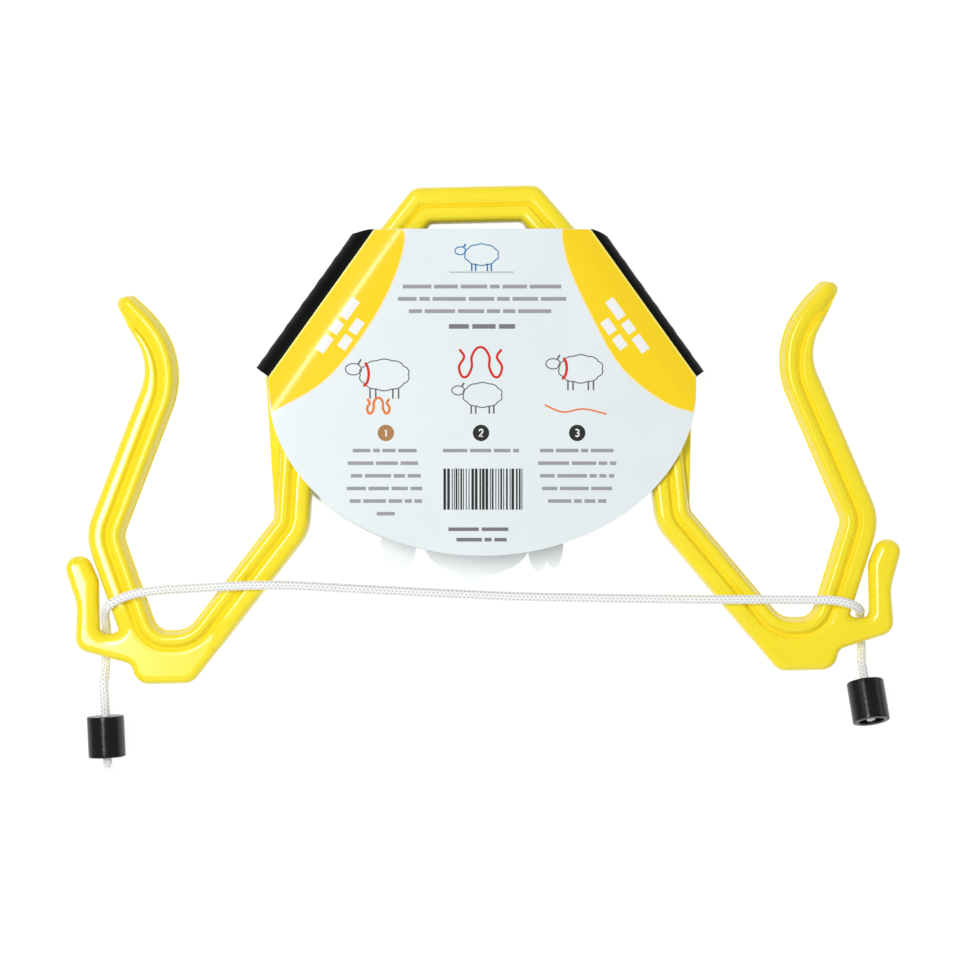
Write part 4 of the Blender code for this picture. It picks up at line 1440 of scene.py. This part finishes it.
def smooth_curve(points: Array, step: float) -> Array:
    """Points at one step along the centripetal Catmull-Rom curve through given points.

    Args:
        points: Points that the curve passes.
        step: The length between two points of the answer.

    Returns:
        The curve's points.
    """
    ends = np.concatenate([2 * points[:1] - points[1:2], points, 2 * points[-1:] - points[-2:-1]])
    a, b, c, d = (ends[i : len(ends) - 3 + i][:, None] for i in range(4))
    spans = [np.linalg.norm(q - p, axis=-1, keepdims=True) ** 0.5 for p, q in ((a, b), (b, c), (c, d))]
    t1, t2, t3 = spans[0], spans[0] + spans[1], spans[0] + spans[1] + spans[2]
    t = t1 + (t2 - t1) * (np.arange(48) / 48)[None, :, None]
    ab = a + (b - a) * t / t1
    bc = b + (c - b) * (t - t1) / (t2 - t1)
    cd = c + (d - c) * (t - t2) / (t3 - t2)
    abc = ab + (bc - ab) * t / t2
    bcd = bc + (cd - bc) * (t - t1) / (t3 - t1)
    curve = (abc + (bcd - abc) * (t - t1) / (t2 - t1)).reshape(-1, points.shape[1])
    curve = np.append(curve, points[-1:], axis=0)
    total = lengths(curve)[-1]
    return at_lengths(curve, np.linspace(0.0, total, max(2, round(total / step))))


# ---------------------------------------------------------------- sleeve


class Ink(Enum):
    """The colours that the card is printed in."""

    YELLOW = (0.94, 0.67, 0.018)
    CREAM = (0.93, 0.80, 0.48)
    # A bright yellow line printed along each fold: a painted highlight where the fold catches the light.
    CREASE = (0.98, 0.84, 0.20)
    WHITE = (0.86, 0.87, 0.87)
    TEXT = (0.20, 0.20, 0.21)
    PALE = (0.34, 0.34, 0.36)
    BLACK = (0.03, 0.03, 0.03)
    BROWN = (0.42, 0.22, 0.09)
    LINE = (0.16, 0.14, 0.14)
    RED = (0.66, 0.03, 0.02)
    ORANGE = (0.80, 0.20, 0.04)
    BLUE = (0.05, 0.20, 0.46)
    GREY = (0.50, 0.52, 0.54)


@dataclass
class Sleeve:
    """The folded card over the arch: a printed near panel, a far panel and two gussets."""

    near: bpy.types.Material
    far: bpy.types.Material
    black: bpy.types.Material
    ink: bpy.types.Material
    top: Place = (0.0603, 0.2507)
    foot: Place = (0.1194, 0.1682)
    side: float = 0.0062
    bottom_up: float = 0.0684
    turn: float = math.radians(-1.2)
    near_shift: float = 0.0018
    far_shift: float = -0.0024
    # The far panel's lobes: middle, half width and lowest point.
    lobe_top: float = 0.0750
    lobes_mm: tuple[Triple, ...] = (
        (-47.3, 6.0, 63.9), (-39.2, 5.9, 61.4), (1.1, 30.0, 56.4),
        (-1.6, 13.4, 53.4), (35.9, 6.2, 59.0), (44.6, 5.4, 60.7),
    )
    # The gussets: how far they bulge, how deep their ends are cut, and their slight ripple.
    reach: float = 0.0093
    top_cut: float = 0.0088
    ripple: float = 0.00016
    ripple_waves: Place = (620.0, 190.0)
    # The near panel's bow.
    slope: float = 0.24
    bend_at: float = 0.0126
    bend_soft: float = 0.0013
    free_lift: float = 0.0006

    def settle(self, points: Array, shift: float) -> Array:
        """Points of the frame from the card's own: shifted right and turned about its foot.

        Args:
            points: Places (x, up, z) on the card before it is turned.
            shift: How far the panel lies to the right.

        Returns:
            Points of the frame.
        """
        x, y = points[..., 0] + shift, points[..., 1] - self.foot[1]
        c, s = math.cos(self.turn), math.sin(self.turn)
        up = s * x + c * y + self.foot[1] - ORIGIN_UP
        return np.stack([c * x - s * y, up, points[..., 2]], axis=-1)

    def lower(self, x: Array) -> Array:
        """The near panel's lower edge at x: half an ellipse.

        Args:
            x: Distances to the right of the middle.

        Returns:
            The edge's height up.
        """
        widest = self.foot[1] - self.side
        share = np.clip(np.abs(x) / self.foot[0], 0.0, 1.0)
        return widest - (widest - self.bottom_up) * np.sqrt(1 - share**2)

    def lobed(self, x: Array) -> Array:
        """The far panel's lower edge at x: the lowest of the ellipse and its round lobes.

        Args:
            x: Distances to the right of the middle.

        Returns:
            The edge's height up.
        """
        edge = self.lower(x)
        for middle, half, low in self.lobes_mm:
            share = np.clip(np.abs(x - middle * MM) / (half * MM), 0.0, 1.0)
            lobe = self.lobe_top - (self.lobe_top - low * MM) * np.sqrt(1 - share**2)
            edge = np.where(share < 1, np.minimum(edge, lobe), edge)
        return edge

    def upper(self, x: Array) -> Array:
        """A panel's upper edge at x: level, then sloping down to the foot.

        Args:
            x: Distances to the right of the middle.

        Returns:
            The edge's height up.
        """
        (tx, ty), (fx, fy) = self.top, self.foot
        slope = ty + (np.abs(x) - tx) * (fy - ty) / (fx - tx)
        return np.where(np.abs(x) <= tx, ty, slope)

    def rise(self, x: Array, up: Array) -> Array:
        """How far the near panel bows off the arch.

        It climbs from each sloping crease and bends level at a distance b from it: its slope
        at a distance s is slope / (1 + exp((s - b) / soft)). It lifts a little more along the
        free lower edge.

        Args:
            x: Distances to the right of the middle.
            up: Heights up the card.

        Returns:
            How far the card stands off at each place.
        """
        (tx, ty), (fx, fy) = self.top, self.foot
        way = unit(np.array((fx - tx, fy - ty)))
        gone = np.maximum((tx - np.abs(x)) * -way[1] + (ty - up) * way[0], 0.0)
        at, soft = self.bend_at, self.bend_soft
        climbed = gone - soft * (np.logaddexp(0.0, (gone - at) / soft) - math.log1p(math.exp(-at / soft)))
        low = np.clip((fy - up) / (fy - self.bottom_up), 0.0, 1.0)
        return self.slope * climbed + self.free_lift * low**2

    def panel(self, name: str, node: str, low: float, shift: float, near: bool) -> None:
        """A flat card panel: a grid across x and from the lower edge to the upper one.

        Args:
            name: The piece's name.
            node: The node that it stands for.
            low: The height of its under face.
            shift: How far it lies to the right.
            near: Whether it is the near one, which bows.
        """
        fx, tx = self.foot[0], self.top[0]
        x = fx * np.sin(np.linspace(-1, 1, 161) * math.pi / 2)
        if not near:
            share = np.cos(np.radians(np.arange(0, 181, 12)))
            x = np.concatenate([x, *(m * MM + h * MM * share for m, h, _ in self.lobes_mm)])
        x = np.unique(np.round(np.concatenate([x, [-tx, tx]]), 6))
        v = np.linspace(0.0, 1.0, 72)[:, None]
        low_edge = self.lower(x) if near else self.lobed(x)
        up = low_edge + (self.upper(x) - low_edge) * v
        across = np.broadcast_to(x, up.shape)
        raised = self.rise(across, up) if near else np.zeros_like(up)
        faces = [np.stack([across, up, low + t + raised], axis=-1) for t in (0.0, CARD_THICKNESS)]
        shell = Shell()
        under, over = (shell.grid(self.settle(f, shift)) for f in faces)
        rows, columns = up.shape
        index = np.arange(rows * columns).reshape(rows, columns)
        rim = np.concatenate([index[0, :-1], index[:-1, -1], index[-1, :0:-1], index[:0:-1, 0]])
        after = np.roll(rim, -1)
        shell.faces += np.stack([under + rim, under + after, over + after, over + rim], 1).tolist()
        finish = self.near if near else self.far
        fit(shell, name, finish, Body.SLEEVE, node, creased=True)

    def gusset(self, side: Side) -> None:
        """A black gusset: an arc from crease to crease carried along the slope.

        Args:
            side: Which of the two it is.
        """
        near, foot = np.array(self.top), np.array(self.foot)
        way = unit(foot - near)
        out = left_of(way)
        far = side.value * (self.far_shift - self.near_shift) * out[0]
        start = np.array((GAP, FRAME_TOP_Z + GAP + CARD_THICKNESS / 2))
        end = np.array((far + GAP, CARD_THICKNESS / 2))
        chord = end - start
        long = np.linalg.norm(chord)
        bulge = self.reach + min(0.0, far) - (start[0] + end[0]) / 2
        radius = (long**2 / 4 + bulge**2) / (2 * bulge)
        centre = (start + end) / 2 + left_of(chord) / long * (bulge - radius)
        first, last = (math.atan2(*(p - centre)[::-1]) for p in (start, end))
        columns = 33
        angles = np.linspace(first, last, columns)
        ways = np.stack([np.cos(angles), np.sin(angles)], axis=1)
        arch = np.sin(np.linspace(0, math.pi, columns))
        cut, total = self.top_cut * arch[None], np.linalg.norm(foot - near)
        run = cut + (total - cut) * np.linspace(0.0, 1.0, 61)[:, None]
        quick, slow = self.ripple_waves
        ripple = self.ripple * np.sin(run * quick + 1.0) * arch * np.sin(run * slow)
        rows = []
        for half in (0.5, -0.5):
            arc = centre + ways * radius + ways * half * CARD_THICKNESS
            flat = near + way * run[..., None] + out * (arc[None, :, :1] + ripple[..., None])
            z = np.broadcast_to(np.maximum(arc[:, 1], 0.0), run.shape)
            rows.append(np.concatenate([flat * (side.value, 1), z[..., None]], axis=-1))
        ring = np.concatenate([rows[0], rows[1][:, ::-1]], axis=1)
        shell = Shell()
        start = shell.grid(self.settle(ring, self.near_shift), loop_columns=True)
        for row in (0, len(ring) - 1):
            front = start + row * 2 * columns + np.arange(columns)
            back = start + (row * 2 + 2) * columns - 1 - np.arange(columns)
            shell.faces += np.stack([front[:-1], front[1:], back[1:], back[:-1]], axis=1).tolist()
        name, body = side.name.lower(), Body.SLEEVE
        node = f"{name}_gusset"
        fit(shell, f"{name}_black_gusset", self.black, body, node, creased=True)

    def build(self) -> None:
        """Builds the panels, the gussets and the print."""
        self.panel("printed_panel", "instruction_panel", FRAME_TOP_Z + GAP, self.near_shift, True)
        self.panel("far_panel", "display_panel", 0.0, self.far_shift, False)
        for side in Side:
            self.gusset(side)
        Print(self).build()


@dataclass
class Print:
    """What is printed on the near panel, as thin ink on the card's own bowed surface.

    Its places are in print units, across from the card's middle and down from its top edge.
    """

    sleeve: Sleeve
    unit_size: float = 0.0005584
    lift: float = 0.00004
    layer: float = 0.00002
    shell: Shell = field(default_factory=Shell)
    draw: np.random.Generator = field(default_factory=lambda: np.random.default_rng(21))
    # The right yellow area's outer edge, the inner edges of both, and the line on the crease, which carries a
    # painted highlight.
    edge: tuple[Place, ...] = (
        (79.8, 0.3), (107.8, 0.3), (213.5, 147.9), (213.5, 158.8), (212.6, 172.0), (210.4, 183.5)
    )
    left_curve: tuple[Place, ...] = (
        (-79.5, 0.3), (-77.5, 8), (-83.3, 36), (-107.8, 88.1), (-156.8, 150.9), (-210.2, 183.5)
    )
    right_curve: tuple[Place, ...] = (
        (79.5, 0.3), (79.5, 9.1), (85.3, 35.6), (106.9, 83.7), (140, 140.1), (184.8, 174.9), (210.2, 183.5)
    )
    crease: tuple[Place, Place] = ((108.4, 1.5), (213.0, 147.4))
    # The drawings, in sizes from their middle.
    yoke_half: tuple[Place, ...] = (
        (1.0, -0.55), (0.78, -0.2), (1.02, 0.28), (0.86, 0.75), (0.66, 0.75), (0.42, 0.3), (0.42, -0.2),
        (0.14, -0.62),
    )
    numerals: tuple[tuple[Place, ...], ...] = (
        ((-0.35, -0.55), (0.1, -1.0), (0.1, 1.0)),
        ((-0.5, -0.5), (-0.3, -0.9), (0.1, -1.0), (0.5, -0.7), (0.45, -0.25), (-0.5, 0.95), (0.55, 0.95)),
        (
            (-0.45, -0.8), (0.0, -1.0), (0.45, -0.7), (0.4, -0.25), (0.0, -0.05), (0.45, 0.2),
            (0.5, 0.65), (0.0, 1.0), (-0.5, 0.75),
        ),
    )

    def patch(self, points: Array, ink: Ink, layer: int = 0) -> None:
        """Prints a grid of places in print units, over that many layers of ink.

        Args:
            points: Places, in rows and columns.
            ink: Its colour.
            layer: How many layers of ink lie under it.
        """
        x = points[..., 0] * self.unit_size
        up = self.sleeve.top[1] - points[..., 1] * self.unit_size
        z = FRAME_TOP_Z + GAP + CARD_THICKNESS + self.sleeve.rise(x, up)
        z = z + self.lift + layer * self.layer
        places = self.sleeve.settle(np.stack([x, up, z], axis=-1), self.sleeve.near_shift)
        self.shell.grid(places, ink.value)

    def ribbon(self, points: Array, width: float, ink: Ink, layer: int = 1, curved: bool = False) -> None:
        """Prints a line of that width through places, as a smooth curve or straight.

        Args:
            points: Places in print units.
            width: The line's width.
            ink: Its colour.
            layer: How many layers of ink lie under it.
            curved: Whether it is a smooth curve through the places.
        """
        line = np.array(points, float)
        line = smooth_curve(line, 1.2) if curved else line
        side = left_of(unit(np.gradient(line, axis=0))) * width / 2
        spread = np.linspace(-1.0, 1.0, 2 + int(width / 1.5))[None, :, None]
        self.patch(line[:, None] + side[:, None] * spread, ink, layer)

    def bar(self, x: float, y: float, wide: float, high: float, ink: Ink) -> None:
        """Prints an upright bar with its middle at a place."""
        self.ribbon([(x - wide / 2, y), (x + wide / 2, y)], high, ink)

    def disc(self, x: float, y: float, radius: float, ink: Ink) -> None:
        """Prints a disc, as rings round its middle.

        Args:
            x: The middle, across.
            y: The middle, down.
            radius: Its radius.
            ink: Its colour.
        """
        t = np.linspace(0, 2 * math.pi, 41)[:, None]
        r = np.array((0.02, 0.5, 1.0))[None] * radius
        self.patch(np.stack([x + r * np.sin(t), y - r * np.cos(t)], axis=-1), ink, 1)

    def words(self, x: float, y: float, wide: float, high: float, ink: Ink) -> None:
        """Prints a centred row of short bars of chance lengths, which stand for words.

        Args:
            x: The row's middle, across.
            y: The row's middle, down.
            wide: Its whole width.
            high: The bars' height.
            ink: Their colour.
        """
        gap = high * 0.75
        at = x - wide / 2
        while at < x + wide / 2 - high:
            long = min(self.draw.uniform(2.0, 9.5) * high * 0.95, x + wide / 2 - at)
            self.bar(at + long / 2, y, long, high, ink)
            at += long + gap

    def side_areas(self) -> None:
        """The yellow areas under both slopes, ruled between a curve and the card's edge, with a painted
        highlight line on each crease.
        """
        for side, inner in ((Side.LEFT, self.left_curve), (Side.RIGHT, self.right_curve)):
            line = smooth_curve(np.array(inner, float), 2.0)
            mirror = (side.value, 1)
            edge = np.array(self.edge)
            outer = at_lengths(edge, np.linspace(0, lengths(edge)[-1], len(line))) * mirror
            t = np.linspace(0, 1, 26)[None, :, None]
            self.patch(line[:, None] * (1 - t) + outer[:, None] * t, Ink.YELLOW)
            self.ribbon(line, 1.3, Ink.CREAM)
            start, end = np.array(self.crease) * mirror
            t = np.linspace(0, 1, 60)[:, None]
            # A painted highlight along the fold.
            self.ribbon(start + (end - start) * t, 1.6, Ink.CREASE)
            self.side_words(side)

    def side_words(self, side: Side) -> None:
        """Two rows of plain white blocks, parallel to the slope.

        Args:
            side: Which of the two areas.
        """
        way = unit(np.array((105.7, 147.4)))
        middle = np.array((137.5, 101.0))
        rows = ((-7.6, ((-17, -2), (3, 17))), (8.4, ((-31, -9), (-4, 9), (14, 32))))
        for off, blocks in rows:
            for start, end in blocks:
                t = np.linspace(start, end, 12)[:, None]
                line = (middle - left_of(way) * off + way * t) * (side.value, 1)
                self.ribbon(line, 9.6, Ink.WHITE)

    def sheep(self, x: float, y: float, size: float, ink: Ink, band: Ink | None) -> None:
        """A plain drawing of a sheep from the side: a fleece of arcs, a head and four legs.

        Args:
            x: The middle, across.
            y: The middle, down.
            size: The drawing's scale. The fleece is two and a half of it wide.
            ink: The line's colour.
            band: The colour of a band round the neck, if there is one.
        """

        def oval(mid: Place, half: tuple[Array | float, Array | float], angle: Array) -> Array:
            """Part of an oval, in sizes from the sheep's middle."""
            across = x + mid[0] * size + half[0] * size * np.cos(angle)
            return np.stack([across, y + mid[1] * size + half[1] * size * np.sin(angle)], axis=1)

        t = np.linspace(0, 2 * math.pi, 120)
        puff = 1 + 0.07 * np.abs(np.sin(5 * t))
        self.ribbon(oval((0.0, 0.0), (1.25 * puff, 0.78 * puff), t), 1.1, ink)
        self.ribbon(oval((-1.62, -0.30), (0.42, 0.30), t), 1.1, ink, 2)
        strokes = [((leg, 0.72), (leg, 1.25), 1.6) for leg in (-0.75, -0.45, 0.45, 0.75)]
        for start, end, width in (*strokes, ((-1.4, -0.52), (-1.22, -0.82), 1.8)):
            self.ribbon(np.array((start, end)) * size + (x, y), width, ink)
        if band:
            t = np.linspace(-0.9, 1.1, 20) * 1.4
            self.ribbon(oval((-1.12, -0.05), (0.30, 0.62), t), 2.6, band, 3)

    def small_yoke(self, x: float, y: float, size: float, ink: Ink) -> None:
        """A plain drawing of the yoke's own bent line.

        Args:
            x: The middle, across.
            y: The middle, down.
            size: Half its width.
            ink: Its colour.
        """
        half = np.array(self.yoke_half)
        line = np.concatenate([half * (-1, 1), half[::-1]]) * size + (x, y)
        self.ribbon(line, 2.4, ink, 2, curved=True)

    def step(self, value: int, x: float, ink: Ink, lines: tuple[float, ...]) -> None:
        """One step of the directions: a numbered disc and its rows of words.

        Args:
            value: The step's number.
            x: Its middle, across.
            ink: The disc's colour.
            lines: The width of each row of words.
        """
        y, size = 203.9, 3.6
        self.disc(x, y, 8.2, ink)
        numeral = np.array(self.numerals[value - 1]) * size + (x, y)
        self.ribbon(numeral, size * 0.42, Ink.WHITE, 3)
        self.rows(x, 221.5, 12.6, lines, 3.5, Ink.PALE)

    def rows(self, x: float, y: float, apart: float, wides: tuple[float, ...], high: float, ink: Ink) -> None:
        """Rows of words under each other, one for each width."""
        for row, wide in enumerate(wides):
            self.words(x, y + apart * row, wide, high, ink)

    def code(self, x: float, end: float, y: float, high: float) -> None:
        """A made-up bar pattern of upright bars with chance widths and gaps.

        Args:
            x: Where the first bar starts.
            end: Where no other bar starts.
            y: The bars' middle, down.
            high: Their height.
        """
        while x < end:
            wide = float(self.draw.choice((0.9, 0.9, 1.7, 2.6)))
            self.bar(x + wide / 2, y, wide, high, Ink.BLACK)
            x += wide + float(self.draw.choice((0.9, 1.2, 1.9)))

    def build(self) -> None:
        """Prints everything and makes it one piece."""
        self.side_areas()
        self.sheep(-1.0, 26.0, 13.0, Ink.BLUE, None)
        self.bar(-1.0, 43.5, 64.0, 1.4, Ink.GREY)
        self.rows(-0.5, 57.8, 12.3, (158.0, 168.0, 146.0), 3.8, Ink.PALE)
        self.words(-0.5, 97.6, 66.0, 4.6, Ink.TEXT)
        self.sheep(-98.0, 146.0, 19.0, Ink.LINE, Ink.RED)
        self.small_yoke(-104.0, 176.0, 11.0, Ink.ORANGE)
        self.small_yoke(-2.0, 132.0, 21.0, Ink.RED)
        self.sheep(0.0, 166.0, 15.0, Ink.LINE, None)
        self.sheep(98.0, 140.0, 17.0, Ink.LINE, Ink.RED)
        self.ribbon([(62, 176), (80, 183), (100, 180), (124, 185)], 1.6, Ink.ORANGE, curved=True)
        self.step(1, -96.5, Ink.BROWN, (66.0, 76.0, 70.0, 78.0, 72.0, 18.0))
        self.step(2, -1.5, Ink.BLACK, (76.0,))
        self.step(3, 94.5, Ink.BLACK, (74.0, 78.0, 74.0, 70.0, 58.0))
        self.code(-39.0, 41.0, 260.0, 41.0)
        self.rows(-1.0, 300.0, 10.4, (66.0, 50.0), 3.6, Ink.TEXT)
        fit(self.shell, "card_print", self.sleeve.ink, Body.SLEEVE, tidy=False)


# ---------------------------------------------------------------- studio


@dataclass(frozen=True)
class Softbox:
    """A soft light, wide across X and long along Y, that looks at the middle of the part."""

    name: str
    place: Triple
    wide: float
    long: float
    power: float

    def build(self) -> None:
        """Adds the light."""
        data = bpy.data.lights.new(self.name, "AREA")
        data.shape, data.size, data.size_y = "RECTANGLE", self.wide, self.long
        data.energy = self.power
        made = bpy.data.objects.new(self.name, data)
        made.location = self.place
        back = Vector(self.place).normalized()
        across = Vector((0.0, 1.0, 0.0)).cross(back).normalized()
        turned = Matrix((across, back.cross(across), back)).transposed()
        made.rotation_euler = turned.to_euler()
        bpy.context.scene.collection.objects.link(made)


@dataclass(frozen=True)
class Studio:
    """The pale floor, the soft light and the camera that looks straight down."""

    camera_place: Triple = (-0.0012, -0.0328, 1.5)
    camera_turn: float = math.radians(-1.2)
    lens: float = 97.25
    floor_half: float = 6.0
    floor_z: float = -0.0001
    room_strength: float = 0.36
    softboxes: tuple[Softbox, ...] = (
        Softbox("key", (-0.55, 0.22, 1.7), 0.22, 0.92, 20.5),
        Softbox("side", (-1.0, 0.62, 1.0), 0.20, 0.20, 0.5),
        Softbox("front", (0.1, -1.3, 1.0), 2.0, 1.0, 4.5),
        Softbox("rim", (1.5, 0.6, 0.55), 0.5, 0.8, 1.2),
    )

    def camera(self) -> None:
        """Adds the camera."""
        data = bpy.data.cameras.new("camera")
        data.lens, data.sensor_width, data.clip_end = self.lens, 36.0, 40.0
        made = bpy.data.objects.new("camera", data)
        made.matrix_world = Matrix.Translation(self.camera_place) @ Matrix.Rotation(self.camera_turn, 4, "Z")
        bpy.context.scene.collection.objects.link(made)
        bpy.context.scene.camera = made

    def floor(self) -> None:
        """Adds the floor, just under the part."""
        h, z = self.floor_half, self.floor_z
        shell = Shell()
        shell.grid(np.array([[(-h, -h, z), (h, -h, z)], [(-h, h, z), (h, h, z)]]))
        made = shell.piece("floor", tidy=False)
        tree = Tree("floor")
        sockets = {
            "Base Color": (0.10, 0.10, 0.10),
            "Roughness": 0.85,
            "Specular IOR Level": 0.1,
            "Emission Color": (1.0, 1.0, 1.0),
            "Emission Strength": 0.95,
        }
        made.data.materials.append(tree.finish(sockets))

    def light(self) -> None:
        """Adds the room's even light and the softboxes."""
        world = bpy.data.worlds.new("room")
        world.use_nodes = True
        back = world.node_tree.nodes["Background"]
        back.inputs["Color"].default_value = (1.0, 1.0, 1.0, 1.0)
        back.inputs["Strength"].default_value = self.room_strength
        scene = bpy.context.scene
        scene.world = world
        scene.view_settings.view_transform = "Standard"
        for softbox in self.softboxes:
            softbox.build()

    def build(self) -> None:
        """Sets up the camera, the floor and the light."""
        self.camera()
        self.floor()
        self.light()


def main() -> None:
    """Builds the studio, the yoke, the cord set and the sleeve, in that order."""
    logging.basicConfig(level=logging.INFO, format="%(message)s")
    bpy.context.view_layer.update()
    Studio().build()
    braid_finish = BraidFinish().material()
    CordSet(braid_finish, RubberFinish().material()).build()
    Yoke(GlossPlastic().material()).build()
    Sleeve(
        # Both panels are the same white card: the near one is given a darker white and the far one a brighter
        # white, painted shade and painted light so that both come out alike under the lamps.
        CardFinish("near_card", (0.78, 0.845, 0.855), (0.74, 0.81, 0.825)).material(),
        CardFinish("far_card", (0.93, 0.965, 0.97), (0.89, 0.94, 0.955)).material(),
        CardFinish("black_card", (0.002, 0.0025, 0.002), (0.005, 0.007, 0.006), 0.42, 0.06).material(),
        InkFinish().material(),
    ).build()


if __name__ == "__main__":
    main()
